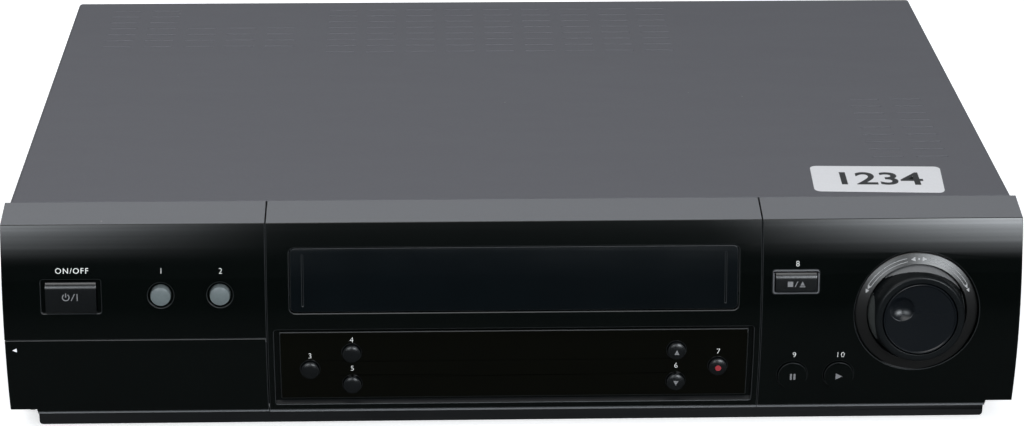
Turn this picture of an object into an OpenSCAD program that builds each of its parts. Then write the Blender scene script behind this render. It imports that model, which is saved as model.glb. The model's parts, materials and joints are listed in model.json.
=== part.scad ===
// Table-top video cassette recorder with a curved front panel.
// All lengths are millimetres. X is across, Z is up and Y runs from the front to the back.
// The pieces are laid out from the front top edge of the panel and the floor,
// and in_frame() then moves each one so that the whole recorder is centred over its origin.

/* [Overall size] */
// Width across the front panel
front_w = 435; // [430:1:450]
// Depth from the front top edge to the back of the cover
body_d = 289; // [286:1:310]
// Height of the front top edge above the floor
edge_h = 96; // [95:0.5:104]
// Rise of the cover above the front top edge
cover_rise = 3.3; // [1:0.1:5]
// Height of the feet
foot_h = 3.3; // [2:0.1:4]
// Radius of a foot
foot_r = 11; // [8:0.5:14]
// Thickness of the folded sheet steel
sheet_t = 0.8; // [0.6:0.1:1.2]

/* [Front panel] */
// Radius of the panel's curve, seen from the side
face_r = 152; // [140:1:240]
// Height at which the curve stands furthest forward
face_mid_z = 43.2; // [40:0.2:48]
// Wall of the three panel mouldings
shell_t = 3; // [2.6:0.1:3.4]
// Depth of the flat top of the panel, back to the cover
top_flat = 17.2; // [16.8:0.1:20]
// Half the width of the middle moulding
centre_half = 105.8; // [104.5:0.1:108]
// Seam between two neighbouring mouldings
seam = 0.3; // [0.1:0.1:0.6]
// Height of the panel's bottom edge above the floor
panel_low = 10.4; // [10.2:0.1:11]
// Step at the bottom edge near the two ends
end_step = 1.7; // [0.5:0.1:2.2]
// Length of that step
end_step_w = 11.5; // [6:0.5:14]

/* [Plinth and cover] */
// How far the cover's side lies inside the panel's end
cover_inset = 1.8; // [1.7:0.1:3]
// Outer bend radius of the cover
bend_r = 2; // [1.4:0.1:3]
// Gap between the cover and the panel
cover_gap = 0.3; // [0.1:0.1:0.8]
// Distance from the plinth's end to the panel's end
plinth_inset = 11.7; // [9:0.1:16]
// How far the plinth stands in front of the top edge
plinth_out = 3; // [1:0.1:3.4]
// Gap between the plinth and the panel
plinth_gap = 1.2; // [1:0.1:1.6]
// Radius of the plinth's lower corners
plinth_r = 2; // [0.5:0.1:2.6]
// Length of a vent slot
vent_w = 14.5; // [8:0.5:17]
// Width of a vent slot
vent_d = 1; // [0.8:0.1:5]
// Step from one vent row to the next
vent_step_y = 9.3; // [7:0.1:11]
// Step from one outer vent column to the next
vent_step_x = 20; // [17.5:0.1:21]
// Step between the columns of the middle vents
vent_mid_step = 19.7; // [17.5:0.1:21]
// Distance of the outer vent column from the cover's side
vent_edge = 26.4; // [20:0.2:34]
// Distance of the last vent row from the back edge
vent_back = 13; // [9:0.5:20]
// Distance of the right group's first row from the back edge
vent_right_back = 151; // [120:1:170]

/* [Cassette door] */
// Width of the opening for the cassette
slot_w = 192; // [190.4:0.2:193]
// Height of that opening
slot_h = 28.2; // [27:0.2:29]
// Distance from the front top edge down to the opening
slot_drop = 10.2; // [9.6:0.1:11]
// Corner radius of the opening
slot_r = 2.5; // [1:0.1:3]
// Thickness of the door
door_t = 1.8; // [1.4:0.1:2]
// How far the door lies behind the panel's face
door_sunk = 0.5; // [0.2:0.1:0.7]
// Gap around the door
door_gap = 0.4; // [0.35:0.05:0.6]
// Radius of the door's hinge pins
door_pin_r = 0.8; // [0.6:0.05:0.9]

/* [Socket flap] */
// Height of the flap's top edge above the floor
flap_top = 46.4; // [44:0.2:47.4]
// Thickness of the flap
flap_t = 2.2; // [2:0.1:2.4]
// Height of the flap's hinge above the floor
flap_axis_z = 13.3; // [13.1:0.1:13.6]
// How far the flap's hinge lies behind the face
flap_axis_in = 3; // [2.9:0.05:3.1]
// Radius of the flap's hinge pins
flap_pin_r = 0.9; // [0.7:0.05:1]
// Distance of a flap hinge from the flap's end
flap_ear_in = 13; // [8:0.5:20]

/* [Display window] */
// Width of the window
window_w = 201.2; // [200.4:0.2:202]
// Height of the window
window_h = 32.4; // [31:0.2:33]
// Height of the window's middle above the floor
window_z = 32.7; // [32.4:0.1:33.2]
// Thickness of the window
window_t = 1.4; // [1:0.1:1.6]
// Width of the sunk border beside the window
border_w = 2.3; // [1:0.1:2.4]
// Depth of that border behind the face
border_d = 2; // [1.8:0.1:2.2]

/* [Buttons] */
// Travel of a button
press = 0.8; // [0.5:0.1:0.9]
// Gap around a button
key_gap = 0.3; // [0.2:0.05:0.4]
// Thickness of the collar behind a button
collar_t = 1; // [0.6:0.1:1.4]
// How far the collar reaches past its button
collar_out = 0.9; // [0.5:0.1:1.2]
// Radius of a button's stem
stem_r = 1.8; // [1.2:0.1:2.2]
// Width of the standby button
standby_w = 21.6; // [18:0.2:23]
// Height of the standby button
standby_h = 12.7; // [10:0.1:13]
// Width of the stop button
stop_w = 17.7; // [14:0.1:18]
// Height of the stop button
stop_h = 8.4; // [7:0.1:9]
// Radius of the two round translucent buttons
lamp_r = 4.3; // [3.6:0.1:4.6]
// Radius of the small buttons in the window
small_r = 3.8; // [3:0.1:4]
// Radius of the two transport buttons
play_r = 6.3; // [5:0.1:6.6]
// How far the flat buttons stand in front of the face
key_proud = 1.2; // [0.6:0.1:1.6]
// How far the round buttons stand in front of the face
round_proud = 2.2; // [1:0.1:2.6]
// Width of the sunk border round the flat buttons
key_border = 1.9; // [1:0.1:2]
// Depth of that border
key_border_d = 1; // [0.4:0.1:1.4]

/* [Jog and shuttle knob] */
// Distance of the knob's axis from the recorder's centre line
knob_x = 172.8; // [170:0.2:176]
// Height of the knob's axis above the floor, at the face
knob_z = 55.8; // [54:0.2:58]
// Radius of the round recess
knob_well_r = 27; // [26.5:0.1:27.6]
// Outer radius of the scale ring
scale_r = 26; // [24:0.1:26.2]
// Inner radius of the scale ring
scale_hole_r = 21.6; // [21.5:0.1:22.4]
// Thickness of the scale ring
scale_t = 1.2; // [0.8:0.1:1.6]
// Depth of the recess below the face at the knob's axis
well_d = 3.4; // [3:0.1:3.8]
// Radius of the shuttle ring at its foot
shuttle_foot_r = 21.1; // [20.4:0.1:21.2]
// Radius of the shuttle ring at its front
shuttle_r = 19.1; // [18:0.1:20]
// How far the shuttle ring stands in front of the face
shuttle_out = 8.8; // [6:0.1:11]
// Radius of the jog dial
dial_r = 15.8; // [14:0.1:16]
// Thickness of the jog dial
dial_t = 3.4; // [3:0.1:4.4]
// Radius of the jog dial's shaft
dial_shaft_r = 3; // [2:0.1:3.4]
// Radius of the shuttle ring's sleeve
sleeve_r = 8; // [6:0.1:9]
// Radius of the finger dimple
dimple_r = 5; // [3:0.1:5.4]
// Distance of the dimple from the dial's centre
dimple_out = 9.5; // [8:0.1:9.8]

/* [Rear sockets] */
// How far the aerial sockets stand behind the cover's edge
aerial_out = 9; // [8:0.5:12]
// Outer radius of an aerial socket
aerial_r = 4.75; // [4.5:0.05:5]
// Radius of the bore that takes an aerial plug
aerial_bore_r = 4.76; // [4.7:0.01:4.8]
// Outer radius of a phono socket
phono_r = 4.15; // [4:0.05:4.3]
// Length of a phono socket's barrel in front of its nose
phono_len = 8.3; // [8:0.1:9]
// Radius of the moulded nose round that barrel's foot
phono_nose_r = 5.4; // [4.8:0.1:5.4]
// How far the nose stands out of its panel
phono_nose_out = 0.4; // [0.2:0.1:0.6]
// Step between two phono sockets
phono_step = 18; // [16:0.5:19]
// Width of a twenty-one way socket
scart_w = 50; // [48:0.5:52]
// Height of a twenty-one way socket
scart_h = 18; // [17:0.5:20]
// Wall of a twenty-one way socket
scart_wall = 1.8; // [1:0.1:2]
// Gap between the two twenty-one way sockets
scart_gap = 12; // [6:0.5:14]
// Gap between the tuner and the nearer of those sockets
tuner_gap = 7; // [4:0.5:9]

/* [Cassette mechanism] */
// Width of the cassette that the recorder takes
cassette_w = 188; // [187:0.5:188.4]
// Height of that cassette
cassette_h = 25; // [24:0.5:25.4]
// Length of the basket that carries the cassette
basket_l = 70; // [60:1:80]
// Distance of the basket behind the front top edge
basket_y = 31; // [30:0.5:36]
// Backward travel of the basket
basket_travel = 62; // [50:1:64]
// Downward travel of the basket
basket_drop = 22; // [16:0.5:22]
// Height of the deck plate's top above the floor
deck_z = 32; // [31:0.5:32]
// Thickness of the deck plate
deck_t = 1.6; // [1:0.1:2]
// Half the width of the deck plate
deck_half = 101; // [100.5:0.5:102.5]
// Distance between the two reel axes
reel_step = 92; // [90:0.5:94]
// Radius of a reel table's flange
reel_r = 22; // [18:0.5:23]
// Distance of the reel axes behind the front top edge
reel_y = 105; // [104:0.5:108]
// Radius of the head drum
drum_r = 31; // [28:0.5:31]
// Distance of the drum's foot behind the front top edge
drum_y = 207; // [204:0.5:210]
// Lean of the drum's axis
drum_lean = 5; // [3:0.5:6]
// Radius of the capstan
capstan_r = 2; // [1.5:0.1:2.5]
// Radius of the pinch roller
roller_r = 7; // [6:0.1:8]
// Swing of the pinch roller's arm
pinch_swing = 28; // [20:1:30]
// Radius of the idler wheel
idler_r = 8; // [6:0.5:9]
// Teeth of the cam gear
cam_teeth = 36; // [30:1:37]
// Teeth of the motor's pinion
pinion_teeth = 12; // [10:1:13]
// Size of a tooth, as pitch diameter per tooth
tooth_m = 1; // [0.9:0.05:1]
// Gap between a shaft and its bore
run_gap = 0.05; // [0.03:0.01:0.08]

/* [Hidden] */
$fn = 48;
// Facets of the panel's large curve
curve_fn = 360;
// Clearance between pieces that don't touch
gap = 0.3;
// Overrun of a cut past the face it opens
over = 1;
// Overlap that keeps two cuts from sharing a face
hair = 0.01;

// Face curve, seen from the side
face_cy = sqrt(face_r * face_r - (edge_h - face_mid_z) * (edge_h - face_mid_z));
function face_y(z) = face_cy - sqrt(face_r * face_r - (z - face_mid_z) * (z - face_mid_z));
half_w = front_w / 2;
cover_top = edge_h + cover_rise;
cover_half = half_w - cover_inset;
cover_y = top_flat + cover_gap;
under_top = cover_top - sheet_t - gap;
front_limit = -face_cy;

// Cassette opening
slot_top = edge_h - slot_drop;
slot_low = slot_top - slot_h;
slot_mid = (slot_top + slot_low) / 2;
door_top = slot_top - door_gap;
door_low = slot_low + door_gap;
door_half = slot_w / 2 - door_gap;
door_axis_z = door_top - door_t / 2;
door_axis_gap = 0.2;
door_axis_y = face_y(door_axis_z) + door_sunk + door_t / 2 + door_axis_gap;
door_pin_l = 2;
door_sweep_r = 0.85 * door_t;
door_lug_w = 3;
hinge_in = 1;
hinge_out = 4;
hinge_r = 3;
groove_x = door_half - 5.3;
groove_w = 0.8;
groove_d = 0.4;
groove_end = 3;

// Socket flap and the recess behind it
flap_axis_y = face_y(flap_axis_z) + flap_axis_in;
flap_end_gap = 0.1;
flap_x0 = -half_w + flap_end_gap;
flap_x1 = -centre_half - seam;
flap_ears = [flap_x0 + flap_ear_in, flap_x1 - flap_ear_in];
ear_w = 4;
ear_wall = 0.7;
ear_r = flap_pin_r + ear_wall;
ear_play = 0.5;
lug_w = 2;
lug_sunk = 0.6;
side_wall = 2.5;
bay_x0 = -half_w + side_wall;
bay_x1 = -centre_half - seam - side_wall;
bay_back = 14.7;
bay_floor = panel_low + 2;
bay_gap = 0.15;
bay_top = flap_top + bay_gap;
bay_roof = 2;
flap_gap = 0.4;
flap_sweep_r = sqrt(pow(flap_axis_in, 2) + pow(flap_axis_z - panel_low, 2)) + flap_gap;

// Front sockets in the recess behind the flap
socket_x = [for (i = [0 : 2]) -half_w + 21.5 + i * phono_step];
socket_z = 30;
socket_foot = 7.7;
socket_foot_half = 5.4;
socket_foot_h = 12;
socket_seat = top_flat + gap;
din_x = socket_x[2] + 24;
din_r = 5.5;
din_half = 7;
din_wall = 1;
din_out = 1.5;
hole_gap = 0.2;

// Display window and the tube behind it
window_r = 0.8;
window_low = window_z - window_h / 2;
window_top = window_low + window_h;
border_w2 = window_w + 2 * border_w;
border_low = window_low - border_w - 0.6;
border_top = window_top + border_w - 1;
border_r = 1.2;
opening_in = 2.5;
tube_half = 52;
tube_y0 = 2.4;
tube_y1 = 8.4;
tube_in = 6;
tube_leg_x = tube_half - 6;
tube_leg_half = 3;
tube_leg_in = 10;

// Buttons: [x, z] of each middle
standby_at = [-half_w + 29.1, edge_h - 30.1];
tape_at = [-centre_half - 44.6, edge_h - 29.8];
picture_at = [-centre_half - 19.5, edge_h - 29.8];
outer_key = window_w / 2 - 12.8;
inner_key = window_w / 2 - 30.8;
speed_at = [-outer_key, window_z - 1.4];
display_at = [-inner_key, window_z + 6.4];
audio_at = [-inner_key, window_z - 8.8];
up_at = [inner_key, window_z + 6.4];
down_at = [inner_key, window_z - 8.8];
record_at = [outer_key, window_z - 1.4];
stop_at = [centre_half + 14.6, edge_h - 26.1];
pause_at = [centre_half + 14.5, 26.6];
play_at = [centre_half + 34.6, 26.6];
window_keys = [speed_at, display_at, audio_at, up_at, down_at, record_at];
key_side = key_border + 0.4;
key_above = key_border - 0.5;
key_well_r = 1;
key_hole_r = 0.8;
key_corner_r = 0.6;
round_room = 0.9;
flat_room = 1.6;
lamp_well_d = 0.8;
lamp_well_rim = 1.2;
switch_w = 6;
switch_h = 4;
plunger_r = 1.7;
plunger_h = 1;
stem_gap = press + 0.2;

// Boards behind the panel
board_t = 1.6;
board_y = 13.4;
stem_end = board_y - switch_h - plunger_h - stem_gap;
boss_r = 2.5;
boss_in = 5;
boss_low = 4;
boss_high = 3;
centre_boss_x = window_w / 2 - 2.8;
board_side = 4;
board_edge = 1;
board_drop = 8;
left_board = [bay_x0 + board_edge, -centre_half - board_side, flap_top + board_side, edge_h - board_drop];
centre_board = [-centre_half + board_side, centre_half - board_side, bay_floor + board_edge, slot_low - 2];
right_board = [centre_half + board_side, half_w - side_wall - board_edge, bay_floor + board_edge,
               edge_h - board_drop];

// Knob
knob_tilt = asin((knob_z - face_mid_z) / face_r);
well_wall = 2;
well_lip = 0.5;
well_bore_in = 3;
shuttle_foot_w = -well_d + gap;
shuttle_web = 1.6;
dial_play = 0.4;
dial_w = shuttle_out - dial_t;
dimple_turn = 150;
dimple_rise = 4.8;
dimple_ball_r = norm([dimple_r, dimple_rise]);
encoder_w0 = -18;
encoder_w1 = -7;
encoder_half = 13;
encoder_seat = 3.5;
sleeve_end = encoder_w1 - 3;
dial_shaft_end = encoder_w0 + 4;
knob_front = -face_y(knob_z) + shuttle_out * cos(knob_tilt) + shuttle_r * sin(knob_tilt);

// Cassette basket, its slider and the fixed frame beside them
basket_half = cassette_w / 2 + 0.7;
basket_floor = slot_low + 0.4;
basket_top = basket_floor + cassette_h + 1.4;
slider_gap = 0.6;
slider_in = basket_half + sheet_t + slider_gap;
slider_t = 1;
frame_gap = 0.4;
frame_in = slider_in + slider_t + frame_gap;
frame_t = 1.2;
frame_foot_w = 8;
frame_foot_least = 5.7;

// Whole recorder
back_end = body_d + aerial_out;
frame_y = (knob_front - back_end) / 2;

// Pan, boards and rear
pan_y0 = 16;
plinth_wall = 2.5;
bracket_in = 20;
bracket_half = 5;
bracket_y = 6;
pan_half = cover_half - sheet_t - gap;
pan_top = foot_h + sheet_t;
pan_flange = 14;
pan_flange_y = 20;
pan_vents_x = [-60 : 20 : 60];
pan_vents_y = [60 : 14 : 102];
pan_vent_half = 7;
pan_vent_d = 3;
rear_y0 = body_d - 2.4;
rear_y1 = body_d - 1;
rear_vent_step = 12;
rear_vents_out = 120;
rear_vents_x = [for (i = [0 : 5]) -rear_vents_out + i * rear_vent_step];
rear_vents_z = [30, 46];
rear_vent_half = 6;
rear_vent_w = 3;
post_r = 4;
board_post_r = 3;
capstan_post_r = 5;
capstan_post_z = 13.7;
main_z = 12;
board_gap = 3;
main_x0 = deck_half + board_gap;
main_x1 = pan_half - 6;
main_y0 = 24;
main_y1 = rear_y0 - 6;
strip_y0 = drum_y + drum_r + 7;
strip_x0 = -deck_half + board_gap;
power_x0 = -pan_half + 6;
power_x1 = -deck_half - board_gap;
power_y0 = 120;
part_z = main_z + board_t;
tuner_half = 22;
tuner_x = main_x0 + 28;
scart_1 = tuner_x - tuner_half - tuner_gap - scart_w / 2;
scart_x = [scart_1 - scart_w - scart_gap, scart_1];
scart_z = part_z + scart_h / 2 + 1;
scart_l = 26;
scart_d = 12;
scart_foot_half = 16;
scart_tongue_half = 20;
scart_tongue_t = 2.4;
phono_x = [scart_x[0] - scart_w / 2 - 25, scart_x[0] - scart_w / 2 - 25 - phono_step];
phono_z = part_z + 12;
phono_pin_r = 1.7;
phono_foot = 11.7;
phono_foot_half = 6;
phono_foot_top = 7;
tuner_l = 60;
tuner_h = 30;
aerial_step = 22;
aerial_x = [tuner_x - aerial_step / 2, tuner_x + aerial_step / 2];
aerial_z = part_z + 16;
aerial_wall = 1.2;
aerial_socket_r = aerial_bore_r + aerial_wall;
aerial_bore_l = 10;
aerial_pin_bore_l = 8;
aerial_pin_r = 1.2;
inlet_x = -half_w + 39.5;
inlet_z = part_z + 10;
inlet_w = 20;
inlet_h = 13;
inlet_l = 20;
inlet_r = 2;
inlet_wall = 2;
inlet_d = 13;
inlet_pin_x = 4.3;
inlet_pin_r = 1.2;
inlet_foot_half = 8;

// Vent slots in the cover: [x, y] of the middle of each
vent_x = cover_half - vent_edge;
vent_y = body_d - vent_back;
vent_right_y = body_d - vent_right_back;
vents = concat(
    [for (c = [0, 1], r = [0 : 6]) [-vent_x + c * vent_step_x, vent_y - r * vent_step_y]],
    [for (c = [2 : 4], r = [3 : 6]) [-vent_x + c * vent_step_x, vent_y - r * vent_step_y]],
    [for (c = [-4 : 4], r = [0 : 7]) [c * vent_mid_step, vent_y - r * vent_step_y]],
    [for (c = [0, 1], r = [0 : 8]) [vent_x - c * vent_step_x, vent_right_y - r * vent_step_y]]);

// Screws: two in each side and three in the back
side_screws = [[70, 9.6], [body_d - 50, 9.6]];
rear_screw_x = cover_half - 19.7;
rear_screws = [[-rear_screw_x, 82], [0, 82], [rear_screw_x, 82]];
screw_r = 1.5;
screw_in = 3;
screw_head_r = 3.6;
screw_head_t = 1.6;

// Posts that carry the main board and the power board
board_posts = [[main_x0 + 6, main_y0 + 8], [main_x1 - 6, main_y0 + 8], [main_x0 + 6, main_y1 - 74],
               [main_x1 - 6, main_y1 - 8], [strip_x0 + 6, main_y1 - 8],
               [power_x0 + 6, power_y0 + 8], [power_x1 - 6, power_y0 + 8],
               [power_x0 + 6, main_y1 - 8], [power_x1 - 6, main_y1 - 8]];

// Larger parts on the two boards
core_at = [(power_x0 + power_x1) / 2 + 12, main_y1 - 84];
core_half = [21, 11];
core_h = 36;
coil_half = [14, 19];
coil_z = [7, 29];
sink_at = [power_x0 + 24, power_y0 + 46];
sink_half = 16;
sink_h = 40;
sink_t = 3;
fin_step = 7;
fin_l = 14;
large_can = [11, 34];
middle_can = [7, 24];
small_can = [5, 14];
small_can_step = 20;
screen_h = [12, 16];
chip_h = 2.4;
large_can_in = [24, 30];
middle_can_in = [20, 32];
second_can_in = [40, 30];
small_can_in = [16, 128];
low_screen_in = [18, 16, 18, 60];
tall_screen_in = [60, 14, 96, 34];
large_chip_in = [34, 92];
large_chip_half = [14, 14];
middle_chip_in = [74, 92];
middle_chip_half = [10, 10];
strip_chip_in = [89, 9];
strip_chip_half = [11, 5];

// Mechanism
deck_low = deck_z - deck_t;
deck_y0 = 26;
deck_y1 = drum_y + drum_r + 2;
deck_post_in = 8;
deck_post_y = [deck_y0 + 7, deck_y1 - 7];
deck_posts = [for (s = [-1, 1], y = deck_post_y) [s * (deck_half - deck_post_in), y]];
deck_hole_at = [70, 62];
deck_hole_r = 12;
frame_top = under_top - 8;
rail_in = basket_half - 33.7;
rail_stop = basket_half - 24.7;
rail_stop_h = 12;
slider_y = [basket_y + 14, basket_y + 54];
basket_pin_y = [basket_y + 24, basket_y + 44];
basket_pin_z = basket_top - 7;
slider_pin_z = basket_top - 1;
slider_pin_y = [basket_y + 19, basket_y + 49];
guide_pin_r = 1.5;
guide_slot = guide_pin_r + 0.1;
drum_foot_z = deck_z + 4;
lower_drum_h = 16.2;
upper_drum_h = 16;
drum_low = 2.8;
drum_shaft_r = 3;
drum_split = drum_low + lower_drum_h;
capstan_at = [drum_r + 31, drum_y - 21];
capstan_hub_r = 4.5;
capstan_hub_low = 2.4;
capstan_hub_top = 3;
capstan_foot_z = 14;
capstan_top = 28;
flywheel_r = 22;
flywheel_z = [20, 26];
flywheel_hub_r = 8;
flywheel_hub_z = 17;
pinch_from_capstan = [26, 10];
pinch_at = capstan_at + pinch_from_capstan;
pinch_l = 24;
pinch_post_r = 2.5;
pinch_post_h = 9;
pinch_hub_r = 5;
pinch_hub_h = 7;
pinch_arm_w = 6;
pinch_arm_z = 2;
pinch_arm_t = 2;
pinch_end_r = 4;
roller_pin_r = 1.5;
roller_pin_top = 25;
roller_top = 23;
roller_low = deck_z + pinch_arm_z + pinch_arm_t + gap;
capstan_reach = norm(pinch_at - capstan_at);
contact = capstan_r + roller_r + gap;
pinch_angle = acos((pinch_l * pinch_l + capstan_reach * capstan_reach - contact * contact)
                   / (2 * pinch_l * capstan_reach));
to_capstan = atan2(capstan_at[1] - pinch_at[1], capstan_at[0] - pinch_at[0]);
pinch_rest = to_capstan + pinch_angle + pinch_swing;
roller_at = pinch_at + pinch_l * [cos(pinch_rest), sin(pinch_rest)];
reel_post_r = 2;
reel_post_h = 12;
reel_hub_r = 8;
reel_tip_r = 4.2;
reel_tip_h = 20;
reel_rib = [6, 1.6, 6];
flange_t = 2.1;
flange_z = deck_z + gap;
idler_at = [0, reel_y + 25];
idler_l = 38;
idler_post_h = 6;
idler_arm_w = 7;
idler_arm_t = 1.2;
idler_hub_r = 5;
idler_pin_r = 1.5;
wheel_at = idler_at - [0, idler_l];
guide_from = [24, drum_y - 57];
guide_to = [47, drum_y + 1];
guide_foot_r = 5.6;
guide_foot_t = 3.4;
guide_nut_r = 4.6;
guide_nut_t = 1.6;
guide_roller_r = 3;
guide_roller_h = 22;
guide_cap_r = 4;
guide_cap_t = 2;
guide_play = 0.15;
head_w = 10;
erase_head = [-capstan_at[0] + 2, drum_y - 35, 8];
sound_head = [capstan_at[0] - 6, drum_y - 11, 10];
head_h = 22;
guide_len = norm(guide_to - guide_from);
guide_turn = atan2(guide_to[1] - guide_from[1], guide_to[0] - guide_from[0]);
guide_slot_w = 4.4;
cam_at = [-deck_half + 25, drum_y - 2];
cam_post_r = 2.5;
cam_post_h = 7;
cam_hub_r = 5;
cam_hub_h = 1.5;
cam_recess = [4, 6, 1.5];
cam_pitch_r = cam_teeth * tooth_m / 2;
pinion_pitch_r = pinion_teeth * tooth_m / 2;
mesh_gap = 0.15;
pinion_at = cam_at - [0, cam_pitch_r + pinion_pitch_r + mesh_gap];
gear_z = deck_z + gap;
gear_t = 4.5;
motor_r = 9;
motor_h = 20;
motor_shaft_r = 1.5;
motor_hole_r = 3;

// Moves a piece from the front top edge to the recorder's own origin
module in_frame() {
    translate([0, frame_y, 0]) children();
}

// A block given by its limits along each axis
module block(x0, x1, y0, y1, z0, z1) {
    translate([x0, y0, z0]) cube([x1 - x0, y1 - y0, z1 - z0]);
}

// The round solid that the panel's face lies on, taken in by a depth
module face_drum(depth, x0 = -half_w - over, x1 = half_w + over) {
    translate([x0, face_cy, face_mid_z])
        rotate([0, 90, 0]) cylinder(r = face_r - depth, h = x1 - x0, $fn = curve_fn);
}

// What lies in front of the face, or of a surface at a depth behind it
module before_face(depth) {
    difference() {
        children();
        face_drum(depth);
    }
}

// A flat rectangle with round corners, about its middle
module round_rect(w, h, r) {
    square([w - 2 * r, h], center = true);
    square([w, h - 2 * r], center = true);
    for (x = [-1, 1], y = [-1, 1])
        translate([x * (w / 2 - r), y * (h / 2 - r)]) circle(r = r);
}

// A bar along Y with the outline of a rectangle with round corners
module y_bar(x, z, w, h, r, y0, y1) {
    translate([x, y1, z])
        rotate([90, 0, 0]) linear_extrude(height = y1 - y0) round_rect(w, h, r);
}

// A rod along Y
module y_rod(x, z, r, y0, y1) {
    translate([x, y0, z]) rotate([-90, 0, 0]) cylinder(r = r, h = y1 - y0);
}

// A rod along X
module x_rod(y, z, r, x0, x1) {
    translate([x0, y, z]) rotate([0, 90, 0]) cylinder(r = r, h = x1 - x0);
}

// A block on one side of the recorder, between two distances from its centre line
module side_block(s, in, out, y0, y1, z0, z1) {
    block(min(s * in, s * out), max(s * in, s * out), y0, y1, z0, z1);
}

// A rod along X on one side of the recorder
module side_rod(s, y, z, r, in, out) {
    x_rod(y, z, r, min(s * in, s * out), max(s * in, s * out));
}

// A standing rod
module z_rod(at, r, z0, z1) {
    translate([at[0], at[1], z0]) cylinder(r = r, h = z1 - z0);
}

// Panel mouldings

// The full body of a panel moulding between two places across
module panel_body(x0, x1) {
    intersection() {
        face_drum(0);
        translate([x1, 0, 0]) rotate([90, 0, -90]) linear_extrude(height = x1 - x0)
            polygon([[-top_flat, panel_low], [-top_flat, cover_top], [0, edge_h],
                     [over - front_limit, edge_h - (over - front_limit) * cover_rise / top_flat],
                     [over - front_limit, panel_low]]);
    }
}

// The hollow behind a panel moulding
module panel_hollow(x0, x1, z0, z1) {
    intersection() {
        face_drum(shell_t);
        block(x0, x1, front_limit, top_flat + over, z0, z1);
    }
}

// A boss that carries a board behind the panel
module board_boss(x, z) {
    y_rod(x, z, boss_r, face_y(z) + shell_t / 2, board_y);
}

// The step in the bottom edge near the ends
module end_steps() {
    for (s = [-1, 1])
        translate([s * (half_w - end_step_w / 2), 0, panel_low + end_step / 2 - over / 2])
            cube([end_step_w + 2 * hair, 4 * top_flat, end_step + over], center = true);
}

// The sunk border and the passage of a flat button
module flat_key_hole(at, w, h) {
    before_face(key_border_d)
        y_bar(at[0], at[1], w + 2 * key_side, h + 2 * key_above, key_well_r, front_limit, 0);
    y_bar(at[0], at[1], w + 2 * key_gap, h + 2 * key_gap, key_hole_r, front_limit, top_flat);
}

// The passage of a round button
module round_key_hole(at, r, y1 = top_flat) {
    y_rod(at[0], at[1], r + key_gap, front_limit, y1);
}

module fascia_left() {
    hollow_z0 = flap_top + bay_roof;
    in_frame() color([0.05, 0.05, 0.055]) {
        difference() {
            panel_body(-half_w, -centre_half - seam / 2);
            panel_hollow(bay_x0, bay_x1, hollow_z0, edge_h - shell_t);
            block(bay_x0, bay_x1, front_limit, bay_back, bay_floor, bay_top);
            before_face(flap_t + gap)
                block(-half_w - over, 0, front_limit, top_flat, 0, bay_top);
            x_rod(flap_axis_y, flap_axis_z, flap_sweep_r, -half_w - over, 0);
            block(-half_w - over, 0, front_limit, flap_axis_y + flap_sweep_r, 0, flap_axis_z);
            end_steps();
            flat_key_hole(standby_at, standby_w, standby_h);
            for (at = [tape_at, picture_at]) {
                round_key_hole(at, lamp_r);
                before_face(lamp_well_d) y_rod(at[0], at[1], lamp_r + lamp_well_rim, front_limit, 0);
            }
            for (x = socket_x) y_rod(x, socket_z, phono_nose_r + hole_gap, 0, top_flat + over);
            y_rod(din_x, socket_z, din_r + hole_gap, 0, top_flat + over);
        }
        for (x = flap_ears) flap_ear(x);
        for (x = [left_board[0] + boss_in, left_board[1] - boss_in],
             z = [left_board[2] + boss_in, left_board[3] - boss_in])
            board_boss(x, z);
    }
}

// A fixed ear that holds one of the flap's pins
module flap_ear(x) {
    difference() {
        union() {
            x_rod(flap_axis_y, flap_axis_z, ear_r, x - ear_w / 2, x + ear_w / 2);
            block(x - ear_w / 2, x + ear_w / 2, flap_axis_y, bay_back,
                  flap_axis_z, flap_axis_z + ear_r);
            block(x - ear_w / 2, x + ear_w / 2, flap_axis_y + flap_sweep_r, bay_back,
                  bay_floor - flap_gap, flap_axis_z + ear_r);
        }
        x_rod(flap_axis_y, flap_axis_z, flap_pin_r + run_gap, x - ear_w, x + ear_w);
    }
}

module fascia_centre() {
    x1 = centre_half - seam / 2;
    in_frame() color([0.05, 0.05, 0.055]) difference() {
        union() {
            difference() {
                panel_body(-x1, x1);
                panel_hollow(-x1 + side_wall, x1 - side_wall, bay_floor, edge_h - shell_t);
            }
            for (s = [-1, 1])
                side_block(s, slot_w / 2 - hinge_in, slot_w / 2 + hinge_out,
                           door_axis_y - over, door_axis_y + hinge_r,
                           door_axis_z - hinge_r, door_axis_z + hinge_r);
            for (s = [-1, 1], z = [centre_board[2] + boss_low, centre_board[3] - boss_high])
                board_boss(s * centre_boss_x, z);
        }
        y_bar(0, slot_mid, slot_w, slot_h, slot_r, front_limit, top_flat + over);
        block(-slot_w / 2, slot_w / 2, door_axis_y, top_flat + over, slot_mid, slot_top);
        x_rod(door_axis_y, door_axis_z, door_sweep_r, -slot_w / 2, slot_w / 2);
        for (s = [-1, 1])
            side_rod(s, door_axis_y, door_axis_z, door_pin_r + run_gap, door_half - 2 * slot_r,
                     door_half + door_pin_l + over);
        before_face(border_d)
            y_bar(0, (border_low + border_top) / 2, border_w2, border_top - border_low, border_r,
                  front_limit, 0);
        block(-window_w / 2 + opening_in, window_w / 2 - opening_in, front_limit, 0,
              window_low + opening_in, window_top - opening_in);
    }
}

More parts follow.
